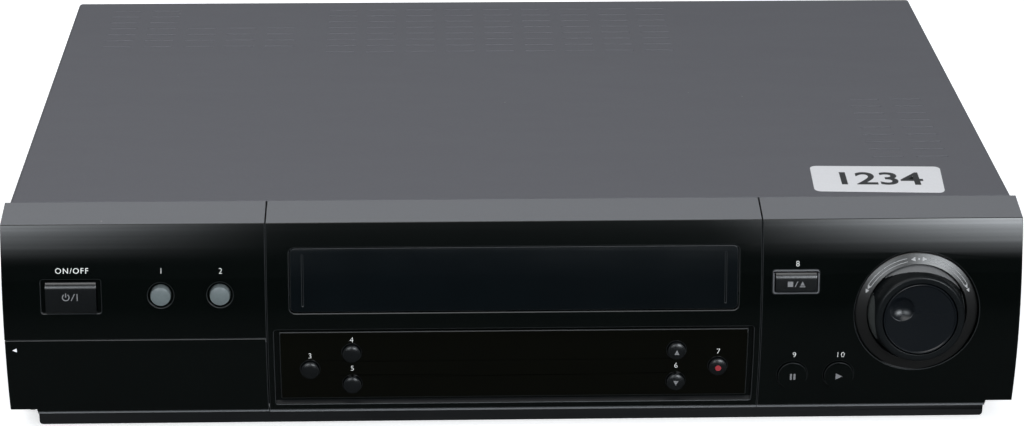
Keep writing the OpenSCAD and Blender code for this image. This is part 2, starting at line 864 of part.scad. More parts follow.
module fascia_right() {
    x0 = centre_half + seam / 2;
    in_frame() color([0.05, 0.05, 0.055]) difference() {
        union() {
            difference() {
                panel_body(x0, half_w);
                panel_hollow(x0 + side_wall, half_w - side_wall, bay_floor, edge_h - shell_t);
                end_steps();
            }
            intersection() {
                face_drum(well_lip);
                knob_place() translate([0, 0, -well_d - shell_t])
                    cylinder(r = knob_well_r + well_wall, h = well_d + shell_t);
            }
            for (x = [right_board[0] + boss_in, right_board[1] - boss_in],
                 z = [right_board[2] + boss_in, right_board[3] - boss_in])
                board_boss(x, z);
        }
        knob_place() {
            translate([0, 0, -well_d]) cylinder(r = knob_well_r, h = 2 * well_d + over);
            translate([0, 0, -2 * well_d - shell_t])
                cylinder(r = scale_hole_r - well_bore_in, h = 2 * well_d + shell_t);
        }
        flat_key_hole(stop_at, stop_w, stop_h);
        round_key_hole(pause_at, play_r);
        round_key_hole(play_at, play_r);
    }
}

// The door that the cassette pushes in, with a pin at each end
module cassette_door() {
    in_frame() color([0.03, 0.03, 0.035]) {
        difference() {
            intersection() {
                face_drum(door_sunk);
                y_bar(0, slot_mid, 2 * door_half, door_top - door_low, slot_r - door_gap / 2,
                      front_limit, 0);
            }
            face_drum(door_sunk + door_t);
            for (s = [-1, 1])
                before_face(door_sunk + groove_d)
                    block(s * groove_x - groove_w / 2, s * groove_x + groove_w / 2, front_limit, 0,
                          door_low + groove_end, door_top - groove_end + door_gap);
        }
        for (s = [-1, 1]) {
            lug_x = s * (door_half - slot_r - door_lug_w / 2);
            x_rod(door_axis_y, door_axis_z, door_t / 2, lug_x - door_lug_w / 2,
                  lug_x + door_lug_w / 2);
            side_rod(s, door_axis_y, door_axis_z, door_pin_r, door_half - slot_r - over,
                     door_half + door_pin_l);
        }
    }
}

// The flap over the front sockets, hinged along its bottom edge
module av_flap() {
    in_frame() color([0.05, 0.05, 0.055]) {
        difference() {
            intersection() {
                face_drum(0);
                block(flap_x0, flap_x1, front_limit, 0, panel_low, flap_top);
            }
            face_drum(flap_t);
            end_steps();
            for (x = flap_ears)
                x_rod(flap_axis_y, flap_axis_z, ear_r + gap, x - ear_w / 2 - ear_play,
                      x + ear_w / 2 + ear_play);
        }
        for (x = flap_ears) {
            for (s = [-1, 1]) flap_lug(x + s * (ear_w / 2 + ear_play + lug_w / 2));
            x_rod(flap_axis_y, flap_axis_z, flap_pin_r, x - ear_w / 2 - lug_w / 2, x + ear_w / 2 + lug_w / 2);
        }
    }
}

// One of the flap's own lugs
module flap_lug(x) {
    intersection() {
        face_drum(lug_sunk);
        union() {
            x_rod(flap_axis_y, flap_axis_z, ear_r, x - lug_w / 2, x + lug_w / 2);
            block(x - lug_w / 2, x + lug_w / 2, flap_axis_y - flap_axis_in, flap_axis_y,
                  flap_axis_z - ear_r, flap_axis_z + ear_r);
        }
    }
}

// Window over the display, with a hole for each small button
module display_window() {
    in_frame() color([0.02, 0.02, 0.025]) difference() {
        intersection() {
            face_drum(border_d - window_t);
            y_bar(0, window_z, window_w, window_h, window_r, front_limit, 0);
        }
        face_drum(border_d);
        for (at = window_keys) round_key_hole(at, small_r);
    }
}

// Buttons

// The part of a button behind the panel: collar and stem
module key_tail(at, y0) {
    y_rod(at[0], at[1], stem_r, y0, stem_end);
}

module round_key(at, r, proud) {
    collar_y = face_y(at[1]) + shell_t + key_gap + round_room;
    in_frame() {
        y_rod(at[0], at[1], r, face_y(at[1]) - proud, collar_y + collar_t);
        y_rod(at[0], at[1], r + collar_out, collar_y, collar_y + collar_t);
        key_tail(at, collar_y);
    }
}

module flat_key(at, w, h) {
    collar_y = face_y(at[1]) + shell_t + key_gap + flat_room;
    in_frame() {
        intersection() {
            face_drum(-key_proud);
            y_bar(at[0], at[1], w, h, key_corner_r, front_limit, collar_y + collar_t);
        }
        y_bar(at[0], at[1], w + 2 * collar_out, h + 2 * collar_out, key_corner_r,
              collar_y, collar_y + collar_t);
        key_tail(at, collar_y);
    }
}

module standby_button() {
    color([0.08, 0.08, 0.09]) flat_key(standby_at, standby_w, standby_h);
}

module stop_button() {
    color([0.08, 0.08, 0.09]) flat_key(stop_at, stop_w, stop_h);
}

module tape_button() {
    color([0.5, 0.53, 0.52]) round_key(tape_at, lamp_r, round_proud);
}

module picture_button() {
    color([0.5, 0.53, 0.52]) round_key(picture_at, lamp_r, round_proud);
}

module speed_button() {
    color([0.07, 0.07, 0.075]) round_key(speed_at, small_r, round_proud);
}

module display_button() {
    color([0.07, 0.07, 0.075]) round_key(display_at, small_r, round_proud);
}

module audio_button() {
    color([0.07, 0.07, 0.075]) round_key(audio_at, small_r, round_proud);
}

module channel_up_button() {
    color([0.07, 0.07, 0.075]) round_key(up_at, small_r, round_proud);
}

module channel_down_button() {
    color([0.07, 0.07, 0.075]) round_key(down_at, small_r, round_proud);
}

module record_button() {
    color([0.09, 0.07, 0.075]) round_key(record_at, small_r, round_proud);
}

module pause_button() {
    color([0.05, 0.05, 0.055]) round_key(pause_at, play_r, round_proud);
}

module play_button() {
    color([0.05, 0.05, 0.055]) round_key(play_at, play_r, round_proud);
}

// Knob

// Stands a piece on the face at the knob's axis, with its own Z along the axis
module knob_place() {
    translate([knob_x, face_y(knob_z), knob_z])
        rotate([90 - knob_tilt, 0, 0]) children();
}

module scale_ring() {
    in_frame() color([0.45, 0.45, 0.43]) knob_place() translate([0, 0, -well_d])
        difference() {
            cylinder(r = scale_r, h = scale_t);
            translate([0, 0, -over]) cylinder(r = scale_hole_r, h = scale_t + 2 * over);
        }
}

module shuttle_ring() {
    in_frame() color([0.05, 0.05, 0.055]) knob_place() difference() {
        union() {
            translate([0, 0, shuttle_foot_w])
                cylinder(r1 = shuttle_foot_r, r2 = shuttle_r, h = shuttle_out - shuttle_foot_w);
            translate([0, 0, sleeve_end])
                cylinder(r = sleeve_r, h = shuttle_foot_w - sleeve_end + shuttle_web / 2);
        }
        translate([0, 0, shuttle_foot_w + shuttle_web])
            cylinder(r = dial_r + dial_play, h = shuttle_out - shuttle_foot_w);
        translate([0, 0, encoder_w0])
            cylinder(r = dial_shaft_r + dial_play, h = 2 * shuttle_out - encoder_w0);
    }
}

module jog_dial() {
    in_frame() color([0.04, 0.04, 0.05]) knob_place() difference() {
        union() {
            translate([0, 0, dial_w]) cylinder(r = dial_r, h = dial_t);
            translate([0, 0, dial_shaft_end])
                cylinder(r = dial_shaft_r, h = dial_w - dial_shaft_end + over);
        }
        rotate([0, 0, dimple_turn]) translate([dimple_out, 0, shuttle_out + dimple_rise])
            sphere(r = dimple_ball_r);
    }
}

// Body that senses the two knobs, with one bore for the sleeve and one for the shaft
module knob_encoder() {
    in_frame() color([0.3, 0.32, 0.3]) difference() {
        intersection() {
            knob_place() translate([-encoder_half, -encoder_half, 2 * encoder_w0])
                cube([2 * encoder_half, 2 * encoder_half, encoder_w1 - 2 * encoder_w0]);
            block(0, half_w, front_limit, board_y, 0, edge_h);
        }
        knob_place() {
            translate([0, 0, encoder_w1 - encoder_seat])
                cylinder(r = sleeve_r + run_gap, h = 2 * encoder_seat);
            translate([0, 0, encoder_w0 + encoder_seat])
                cylinder(r = dial_shaft_r + run_gap, h = encoder_w1 - encoder_w0);
        }
    }
}

// Boards and displays behind the panel

module front_board() {
    in_frame() color([0.15, 0.3, 0.18]) for (b = [left_board, centre_board, right_board])
        block(b[0], b[1], board_y, board_y + board_t, b[2], b[3]);
}

module key_switches() {
    in_frame() color([0.12, 0.12, 0.12])
        for (at = concat(window_keys, [standby_at, tape_at, picture_at, stop_at, pause_at, play_at])) {
            block(at[0] - switch_w / 2, at[0] + switch_w / 2, board_y - switch_h, board_y,
                  at[1] - switch_w / 2, at[1] + switch_w / 2);
            y_rod(at[0], at[1], plunger_r, board_y - switch_h - plunger_h, board_y - switch_h);
        }
}

module display_tube() {
    in_frame() color([0.1, 0.16, 0.15]) {
        block(-tube_half, tube_half, tube_y0, tube_y1, window_low + tube_in, window_top - tube_in);
        for (s = [-1, 1])
            block(s * tube_leg_x - tube_leg_half, s * tube_leg_x + tube_leg_half, tube_y1, board_y,
                  window_low + tube_leg_in, window_top - tube_leg_in);
    }
}

// One phono socket along Y: a barrel with its centre hole and a moulded nose.
// tip is the barrel's free end, nose the end of the moulding and seat the face of its foot.
module phono(x, z, tip, nose, seat) {
    difference() {
        union() {
            y_rod(x, z, phono_r, min(tip, seat), max(tip, seat));
            y_rod(x, z, phono_nose_r, min(nose, seat), max(nose, seat));
        }
        y_rod(x, z, phono_pin_r, min(tip, nose) - over, max(tip, nose) + over);
    }
}

module front_sockets() {
    nose = bay_back - phono_nose_out;
    in_frame() {
        for (i = [0 : 2])
            color([[0.85, 0.75, 0.2], [0.85, 0.85, 0.85], [0.75, 0.15, 0.12]][i]) {
                phono(socket_x[i], socket_z, nose - phono_len, nose, socket_seat);
                block(socket_x[i] - socket_foot_half, socket_x[i] + socket_foot_half,
                      socket_seat, socket_seat + socket_foot,
                      socket_z - socket_foot_h / 2, socket_z + socket_foot_h / 2);
            }
        color([0.1, 0.1, 0.1]) difference() {
            union() {
                y_rod(din_x, socket_z, din_r, bay_back - din_out, socket_seat);
                block(din_x - din_half, din_x + din_half, socket_seat, socket_seat + socket_foot,
                      socket_z - din_half, socket_z + din_half);
            }
            y_rod(din_x, socket_z, din_r - din_wall, bay_back - 2 * din_out, socket_seat + socket_foot / 2);
        }
    }
}

// Case

module top_cover() {
    low = pan_top + 4 * gap;
    mid = cover_top - 5 * bend_r;
    in_frame() color([0.4, 0.4, 0.43]) difference() {
        union() {
            y_bar(0, mid, 2 * cover_half, 10 * bend_r, bend_r, cover_y, body_d);
            block(-cover_half, cover_half, cover_y, body_d, low, mid);
        }
        y_bar(0, mid - sheet_t, 2 * (cover_half - sheet_t), 10 * bend_r, bend_r - sheet_t,
              cover_y - over, body_d + over);
        block(-cover_half + sheet_t, cover_half - sheet_t, cover_y - over, body_d + over,
              low - over, mid);
        for (v = vents)
            block(v[0] - vent_w / 2, v[0] + vent_w / 2, v[1], v[1] + vent_d,
                  cover_top - 2 * sheet_t, cover_top + over);
        for (at = side_screws, s = [-1, 1])
            side_rod(s, at[0], at[1], screw_r + gap, cover_half - screw_in, cover_half + screw_in);
    }
}

module cover_screws() {
    in_frame() color([0.12, 0.12, 0.12]) {
        for (at = side_screws, s = [-1, 1]) {
            side_rod(s, at[0], at[1], screw_head_r, cover_half, cover_half + screw_head_t);
            side_rod(s, at[0], at[1], screw_r, pan_half - screw_in, cover_half + over);
        }
        for (at = rear_screws) {
            y_rod(at[0], at[1], screw_head_r, rear_y1, rear_y1 + screw_head_t);
            y_rod(at[0], at[1], screw_r, rear_y0 - screw_in, rear_y1 + over);
        }
    }
}

module base_pan() {
    in_frame() color([0.6, 0.62, 0.64]) difference() {
        union() {
            block(-pan_half, pan_half, pan_y0, rear_y1, foot_h, pan_top);
            for (s = [-1, 1])
                side_block(s, pan_half - sheet_t, pan_half, pan_flange_y, rear_y0 - gap, foot_h, pan_flange);
        }
        for (at = side_screws, s = [-1, 1])
            side_rod(s, at[0], at[1], screw_r + gap, pan_half - screw_in, pan_half + screw_in);
        for (x = pan_vents_x, y = pan_vents_y)
            block(x - pan_vent_half, x + pan_vent_half, y, y + pan_vent_d,
                  foot_h - over, pan_top + over);
    }
}

// Spacers pressed into the pan, posts set on the deck and the capstan's bearing
module chassis_posts() {
    in_frame() color([0.66, 0.68, 0.7]) {
        for (at = deck_posts) z_rod(at, post_r, pan_top, deck_low);
        for (at = board_posts) z_rod(at, board_post_r, pan_top, main_z);
        z_rod(capstan_at, capstan_post_r, pan_top, capstan_post_z);
        z_rod(pinch_at, pinch_post_r, deck_z, deck_z + pinch_post_h);
        for (s = [-1, 1])
            z_rod([s * reel_step / 2, reel_y], reel_post_r, deck_z, deck_z + reel_post_h);
        z_rod(idler_at, reel_post_r, deck_z, deck_z + idler_post_h);
        z_rod(cam_at, cam_post_r, deck_z, deck_z + cam_post_h);
        difference() {
            z_rod(capstan_at, capstan_hub_r, deck_low - capstan_hub_low, deck_z + capstan_hub_top);
            z_rod(capstan_at, capstan_r + run_gap, capstan_foot_z, deck_z + 2 * capstan_hub_top);
        }
    }
}

// Skirt under the panel and the brackets that hold it to the pan
module plinth() {
    h = panel_low - plinth_gap - foot_h;
    half = half_w - plinth_inset;
    back = plinth_wall - plinth_out;
    in_frame() color([0.06, 0.06, 0.065]) {
        union() {
            y_bar(0, foot_h + h / 2, 2 * half, h, plinth_r, -plinth_out, back);
            block(-half, half, -plinth_out, back, foot_h + h / 2, foot_h + h);
        }
        for (x = [-half + bracket_in, -half / 3, half / 3, half - bracket_in]) {
            block(x - bracket_half, x + bracket_half, back + gap, pan_y0, foot_h, foot_h + h);
            block(x - bracket_half, x + bracket_half, bracket_y, pan_y0, foot_h, panel_low);
        }
    }
}

module rear_panel() {
    in_frame() color([0.1, 0.1, 0.1]) difference() {
        union() {
            block(-pan_half, pan_half, rear_y0, rear_y1, pan_top + gap, under_top - bend_r);
            block(-pan_half + bend_r, pan_half - bend_r, rear_y0, rear_y1, pan_top + gap, under_top);
        }
        for (x = scart_x)
            y_bar(x, scart_z, scart_w + 2 * gap, scart_h + 2 * gap, 1, rear_y0 - over, body_d + over);
        for (x = phono_x) y_rod(x, phono_z, phono_nose_r + hole_gap, rear_y0 - over, body_d + over);
        for (x = aerial_x) y_rod(x, aerial_z, aerial_socket_r + gap, rear_y0 - over, body_d + over);
        y_bar(inlet_x, inlet_z, inlet_w + 2 * hole_gap, inlet_h + 2 * hole_gap, inlet_r,
              rear_y0 - over, body_d + over);
        for (at = rear_screws) y_rod(at[0], at[1], screw_r + gap, rear_y0 - over, body_d + over);
        for (x = rear_vents_x, z = rear_vents_z)
            block(x - rear_vent_w / 2, x + rear_vent_w / 2, rear_y0 - over, body_d,
                  z - rear_vent_half, z + rear_vent_half);
    }
}

module feet() {
    bevel = 1;
    in_frame() color([0.05, 0.05, 0.05])
        for (x = [-1, 1], y = [42, body_d - 32])
            translate([x * (half_w - 38), y, 0]) {
                cylinder(r1 = foot_r - bevel, r2 = foot_r, h = bevel);
                translate([0, 0, bevel]) cylinder(r = foot_r, h = foot_h - bevel);
            }
}

// Rear electronics

module main_board() {
    in_frame() color([0.15, 0.3, 0.18]) {
        block(main_x0, main_x1, main_y0, main_y1, main_z, main_z + board_t);
        block(strip_x0, main_x0 + over, strip_y0, main_y1, main_z, main_z + board_t);
    }
}

module power_board() {
    in_frame() color([0.45, 0.32, 0.16])
        block(power_x0, power_x1, power_y0, main_y1, main_z, main_z + board_t);
}

// A block that stands on a board, given by its middle, half sizes and limits above the board
module on_board(at, half, z0, z1) {
    block(at[0] - half[0], at[0] + half[0], at[1] - half[1], at[1] + half[1], part_z + z0, part_z + z1);
}

// A round can that stands on a board
module can(x, y, size) {
    z_rod([x, y], size[0], part_z, part_z + size[1]);
}

module transformer() {
    in_frame() {
        color([0.55, 0.55, 0.57]) on_board(core_at, core_half, 0, core_h);
        color([0.75, 0.6, 0.2]) on_board(core_at, coil_half, coil_z[0], coil_z[1]);
    }
}

// Capacitors, a finned heat sink, screened modules and large chips
module board_parts() {
    in_frame() {
        color([0.15, 0.2, 0.4]) {
            can(power_x1 - large_can_in[0], power_y0 + large_can_in[1], large_can);
            for (in = [middle_can_in, second_can_in]) can(power_x1 - in[0], main_y1 - in[1], middle_can);
            for (i = [0 : 3])
                can(main_x0 + small_can_in[0] + small_can_step * i, main_y0 + small_can_in[1], small_can);
        }
        color([0.7, 0.7, 0.72]) {
            on_board(sink_at + [0, sink_t / 2], [sink_half, sink_t / 2], 0, sink_h);
            for (i = [-2 : 2])
                on_board(sink_at + [fin_step * i, fin_l / 2 + over], [1, fin_l / 2 - over], 0, sink_h);
        }
        color([0.65, 0.66, 0.68]) {
            block(main_x0 + low_screen_in[0], main_x1 - low_screen_in[1],
                  main_y0 + low_screen_in[2], main_y0 + low_screen_in[3], part_z, part_z + screen_h[0]);
            block(main_x0 + tall_screen_in[0], main_x1 - tall_screen_in[1],
                  main_y1 - tall_screen_in[2], main_y1 - tall_screen_in[3], part_z, part_z + screen_h[1]);
        }
        color([0.08, 0.08, 0.08]) {
            on_board([main_x0, main_y0] + large_chip_in, large_chip_half, 0, chip_h);
            on_board([main_x0, main_y0] + middle_chip_in, middle_chip_half, 0, chip_h);
            on_board([strip_x0, strip_y0] + strip_chip_in, strip_chip_half, 0, chip_h);
        }
    }
}

// Screened tuner with its two aerial sockets
module tuner_can() {
    in_frame() color([0.72, 0.73, 0.75]) difference() {
        union() {
            block(tuner_x - tuner_half, tuner_x + tuner_half, rear_y0 - tuner_l, rear_y0 - gap,
                  part_z, part_z + tuner_h);
            y_rod(aerial_x[0], aerial_z, aerial_socket_r, rear_y0 - over, back_end);
            y_rod(aerial_x[1], aerial_z, aerial_r, rear_y0 - over, back_end);
            y_rod(aerial_x[1], aerial_z, aerial_r + aerial_wall, rear_y0 - over, rear_y1 - hole_gap);
        }
        y_rod(aerial_x[0], aerial_z, aerial_bore_r, back_end - aerial_bore_l, back_end + over);
        y_rod(aerial_x[1], aerial_z, aerial_r - 0.8, back_end - aerial_pin_bore_l, back_end + over);
    }
    in_frame() color([0.8, 0.7, 0.3])
        y_rod(aerial_x[1], aerial_z, aerial_pin_r, back_end - aerial_pin_bore_l - over, back_end - over);
}

module mains_inlet() {
    in_frame() {
        color([0.06, 0.06, 0.06]) difference() {
            union() {
                y_bar(inlet_x, inlet_z, inlet_w, inlet_h, inlet_r, rear_y0 - inlet_l, body_d);
                block(inlet_x - inlet_foot_half, inlet_x + inlet_foot_half,
                      rear_y0 - inlet_l, rear_y0 - inlet_foot_half, part_z, inlet_z);
            }
            y_bar(inlet_x, inlet_z, inlet_w - 2 * inlet_wall, inlet_h - 2 * inlet_wall, 2 * inlet_r,
                  body_d - inlet_d, body_d + over);
        }
        color([0.8, 0.75, 0.55]) for (s = [-1, 1])
            y_rod(inlet_x + s * inlet_pin_x, inlet_z, inlet_pin_r, body_d - inlet_d - over, body_d - 3);
    }
}

module scart_sockets() {
    in_frame() color([0.07, 0.07, 0.07]) for (x = scart_x) {
        difference() {
            union() {
                y_bar(x, scart_z, scart_w, scart_h, 1, body_d - scart_l, body_d - hole_gap);
                block(x - scart_foot_half, x + scart_foot_half, body_d - scart_l, rear_y0 - 6,
                      part_z, scart_z);
            }
            y_bar(x, scart_z, scart_w - 2 * scart_wall, scart_h - 2 * scart_wall, 0.8,
                  body_d - scart_d, body_d + over);
        }
        block(x - scart_tongue_half, x + scart_tongue_half, body_d - scart_d - over, body_d - 4,
              scart_z - scart_tongue_t / 2, scart_z + scart_tongue_t / 2);
    }
}

module rear_phono_sockets() {
    colours = [[0.75, 0.15, 0.12], [0.85, 0.85, 0.85]];
    nose = rear_y1 + phono_nose_out;
    in_frame() for (i = [0, 1]) color(colours[i]) {
        phono(phono_x[i], phono_z, nose + phono_len, nose, rear_y0 - gap);
        block(phono_x[i] - phono_foot_half, phono_x[i] + phono_foot_half,
              rear_y0 - gap - phono_foot, rear_y0 - gap, part_z, phono_z + phono_foot_top);
    }
}

// Mechanism on the deck plate

// A slot with round ends that starts at the origin and runs along X
module round_slot(l, w, z0, z1) {
    translate([0, -w / 2, z0]) cube([l, w, z1 - z0]);
    for (x = [0, l]) translate([x, 0, z0]) cylinder(r = w / 2, h = z1 - z0);
}

// Places a piece at the start of a guide's run, with X along it
module guide_place(side) {
    translate([side * guide_from[0], guide_from[1], 0])
        rotate([0, 0, side > 0 ? guide_turn : 180 - guide_turn]) children();
}

module deck_plate() {
    in_frame() color([0.66, 0.68, 0.7]) difference() {
        block(-deck_half, deck_half, deck_y0, deck_y1, deck_low, deck_z);
        z_rod(capstan_at, capstan_hub_r + run_gap, deck_low - over, deck_z + over);
        z_rod(pinion_at, motor_hole_r, deck_low - over, deck_z + over);
        for (s = [-1, 1])
            guide_place(s) round_slot(guide_len, guide_slot_w, deck_low - over, deck_z + over);
        for (s = [-1, 1])
            z_rod([s * deck_hole_at[0], deck_hole_at[1]], deck_hole_r, deck_low - over, deck_z + over);
    }
}

module drum_place() {
    translate([0, drum_y, drum_foot_z]) rotate([0, drum_lean, 0]) children();
}

module lower_drum() {
    in_frame() color([0.75, 0.76, 0.78]) {
        z_rod([0, drum_y], drum_r - 6, deck_z, drum_foot_z + drum_low + 3);
        drum_place() {
            translate([0, 0, drum_low]) cylinder(r = drum_r, h = lower_drum_h);
            translate([0, 0, drum_low]) cylinder(r = drum_shaft_r, h = lower_drum_h + 12);
        }
    }
}

module upper_drum() {
    in_frame() color([0.8, 0.81, 0.83]) drum_place() difference() {
        translate([0, 0, drum_split + gap]) cylinder(r = drum_r, h = upper_drum_h);
        translate([0, 0, drum_split + upper_drum_h - 1.5]) cylinder(r = drum_r - 5, h = 4);
        translate([0, 0, drum_split - 1]) cylinder(r = drum_shaft_r + run_gap, h = 14);
        for (a = [0 : 90 : 270]) rotate([0, 0, a]) translate([drum_r - 2, -3, drum_split])
            cube([4, 6, 2]);
    }
}

module capstan() {
    in_frame() color([0.78, 0.79, 0.8]) {
        z_rod(capstan_at, capstan_r, capstan_foot_z, deck_z + capstan_top);
        z_rod(capstan_at, flywheel_r, flywheel_z[0], flywheel_z[1]);
        z_rod(capstan_at, flywheel_hub_r, flywheel_hub_z, flywheel_z[0]);
    }
}

module pinch_arm() {
    in_frame() color([0.7, 0.6, 0.35]) {
        difference() {
            union() {
                z_rod(pinch_at, pinch_hub_r, deck_z + gap, deck_z + pinch_hub_h);
                translate([pinch_at[0], pinch_at[1], deck_z + pinch_arm_z]) rotate([0, 0, pinch_rest])
                    translate([0, -pinch_arm_w / 2, 0]) cube([pinch_l, pinch_arm_w, pinch_arm_t]);
                z_rod(roller_at, pinch_end_r, deck_z + pinch_arm_z, roller_low - gap);
            }
            z_rod(pinch_at, pinch_post_r + run_gap, deck_low, deck_z + pinch_post_h + over);
        }
        z_rod(roller_at, roller_pin_r, deck_z + pinch_arm_z + over, deck_z + roller_pin_top);
    }
}

module pinch_roller() {
    in_frame() color([0.06, 0.06, 0.06]) difference() {
        z_rod(roller_at, roller_r, roller_low, deck_z + roller_top);
        z_rod(roller_at, roller_pin_r + run_gap, deck_z, deck_z + roller_pin_top);
    }
}

module reel(side) {
    at = [side * reel_step / 2, reel_y];
    in_frame() difference() {
        union() {
            z_rod(at, reel_r, flange_z, flange_z + flange_t);
            z_rod(at, reel_hub_r, flange_z, deck_z + reel_post_h);
            z_rod(at, reel_tip_r, flange_z, deck_z + reel_tip_h);
            for (a = [0, 120, 240]) translate([at[0], at[1], deck_z + reel_post_h]) rotate([0, 0, a])
                translate([0, -reel_rib[1] / 2, 0]) cube(reel_rib);
        }
        z_rod(at, reel_post_r + run_gap, deck_low, deck_z + reel_post_h + 0.4);
    }
}

module supply_reel() {
    color([0.85, 0.85, 0.82]) reel(-1);
}

module takeup_reel() {
    color([0.85, 0.85, 0.82]) reel(1);
}

module idler_arm() {
    z0 = flange_z + flange_t + frame_gap;
    in_frame() color([0.75, 0.75, 0.72]) {
        difference() {
            union() {
                block(-idler_arm_w / 2, idler_arm_w / 2, wheel_at[1], idler_at[1], z0, z0 + idler_arm_t);
                z_rod(idler_at, idler_hub_r, z0, z0 + idler_arm_t);
                z_rod(wheel_at, idler_arm_w / 2, z0, z0 + idler_arm_t);
            }
            z_rod(idler_at, reel_post_r + run_gap, deck_low, z0 + 2 * idler_arm_t);
        }
        z_rod(wheel_at, idler_pin_r, flange_z + gap, z0 + idler_arm_t / 2);
    }
}

module idler_wheel() {
    in_frame() color([0.08, 0.08, 0.08]) difference() {
        z_rod(wheel_at, idler_r, flange_z, flange_z + flange_t);
        z_rod(wheel_at, idler_pin_r + run_gap, deck_low, flange_z + 2 * flange_t);
    }
}

// A tape guide: a carriage in its slot with a roller post
module guide(side) {
    in_frame() guide_place(side) {
        z_rod([0, 0], guide_foot_r, deck_z + gap, deck_z + gap + guide_foot_t);
        z_rod([0, 0], guide_slot_w / 2 - guide_play, deck_low - guide_nut_t - gap, deck_z + 2 * gap);
        z_rod([0, 0], guide_nut_r, deck_low - gap - guide_nut_t, deck_low - gap);
        z_rod([0, 0], guide_roller_r, deck_z + guide_foot_t, deck_z + guide_foot_t + guide_roller_h);
        z_rod([0, 0], guide_cap_r, deck_z + guide_foot_t + guide_roller_h,
              deck_z + guide_foot_t + guide_roller_h + guide_cap_t);
    }
}

module left_guide() {
    color([0.8, 0.8, 0.78]) guide(-1);
}

module right_guide() {
    color([0.8, 0.8, 0.78]) guide(1);
}

// Erase head on the left and sound head by the capstan
module fixed_heads() {
    in_frame() color([0.72, 0.7, 0.66]) {
        for (head = [erase_head, sound_head])
            block(head[0], head[0] + head_w, head[1], head[1] + head[2], deck_z, deck_z + head_h);
    }
}

// A spur gear with a tooth at the given angle
module spur(teeth, start, h) {
    pitch_r = teeth * tooth_m / 2;
    root_r = pitch_r - 1.2 * tooth_m;
    linear_extrude(height = h) {
        circle(r = root_r);
        for (i = [0 : teeth - 1]) rotate(start + i * 360 / teeth)
            polygon([[root_r - 0.4, -0.75 * tooth_m], [pitch_r, -0.55 * tooth_m],
                     [pitch_r + 0.8 * tooth_m, -0.28 * tooth_m],
                     [pitch_r + 0.8 * tooth_m, 0.28 * tooth_m],
                     [pitch_r, 0.55 * tooth_m], [root_r - 0.4, 0.75 * tooth_m]]);
    }
}

module cam_gear() {
    in_frame() color([0.85, 0.85, 0.8]) difference() {
        union() {
            translate([cam_at[0], cam_at[1], gear_z]) spur(cam_teeth, -90, gear_t);
            z_rod(cam_at, cam_hub_r, gear_z, gear_z + gear_t + cam_hub_h);
        }
        z_rod(cam_at, cam_post_r + run_gap, deck_low, deck_z + 2 * cam_post_h);
        translate([cam_at[0], cam_at[1], gear_z + gear_t - cam_recess[2]])
            rotate([0, 0, 40]) translate([cam_pitch_r / 2, -cam_recess[1] / 2, 0])
                cube([cam_recess[0], cam_recess[1], 2 * cam_recess[2]]);
    }
}

module motor_pinion() {
    in_frame() color([0.85, 0.85, 0.8]) difference() {
        translate([pinion_at[0], pinion_at[1], gear_z])
            spur(pinion_teeth, 90 + 180 / pinion_teeth, gear_t);
        z_rod(pinion_at, motor_shaft_r + run_gap, deck_low, gear_z + gear_t + over);
    }
}

module loading_motor() {
    in_frame() color([0.5, 0.5, 0.52]) {
        z_rod(pinion_at, motor_r, deck_low - motor_h, deck_low);
        z_rod(pinion_at, motor_shaft_r, deck_low - over, gear_z + gear_t + over / 2);
    }
}

// Carriage that takes the cassette in and sets it on the reels

module carriage_frame() {
    y1 = basket_y + basket_l + basket_travel + 14;
    foot_in = min(deck_half - frame_foot_w, frame_in + frame_t - frame_foot_least);
    in_frame() color([0.6, 0.62, 0.64]) {
        for (s = [-1, 1]) difference() {
            union() {
                side_block(s, frame_in, frame_in + frame_t, deck_y0 + over, y1, deck_z, frame_top);
                side_block(s, foot_in, frame_in + frame_t, deck_y0 + over, y1,
                           deck_z, deck_z + frame_t);
            }
            translate([s * (frame_in + frame_t / 2), 0, slider_pin_z]) {
                translate([-over, slider_pin_y[0], -guide_slot])
                    cube([2 * over, slider_pin_y[1] - slider_pin_y[0] + basket_travel, 2 * guide_slot]);
                for (y = [slider_pin_y[0], slider_pin_y[1] + basket_travel])
                    translate([-over, y, 0]) rotate([0, 90, 0]) cylinder(r = guide_slot, h = 2 * over);
            }
            side_block(s, frame_in - over, frame_in + frame_t + over,
                       deck_y0 + 24, y1 - 20, deck_z + 12, deck_z + 30);
        }
        for (y = [deck_y0 + 16, y1 - 14])
            block(-frame_in - frame_t / 2, frame_in + frame_t / 2, y, y + 10, frame_top - frame_t, frame_top);
    }
}

module carriage_slider() {
    slot_low_z = basket_pin_z - basket_drop;
    bar_z = basket_top + sheet_t + 0.4;
    in_frame() color([0.78, 0.76, 0.7]) {
        for (s = [-1, 1]) {
            difference() {
                side_block(s, slider_in, slider_in + slider_t, slider_y[0], slider_y[1],
                           slot_low_z - 4, bar_z + slider_t);
                for (y = basket_pin_y) translate([s * (slider_in + slider_t / 2), y, slot_low_z]) {
                    translate([-over, -guide_slot, 0]) cube([2 * over, 2 * guide_slot, basket_drop]);
                    for (z = [0, basket_drop])
                        translate([-over, 0, z]) rotate([0, 90, 0]) cylinder(r = guide_slot, h = 2 * over);
                }
            }
            for (y = slider_pin_y)
                side_rod(s, y, slider_pin_z, guide_pin_r, slider_in + slider_t / 2, frame_in + frame_t);
        }
        block(-slider_in - slider_t, slider_in + slider_t, basket_y + 28, basket_y + 40,
              bar_z, bar_z + slider_t);
    }
}

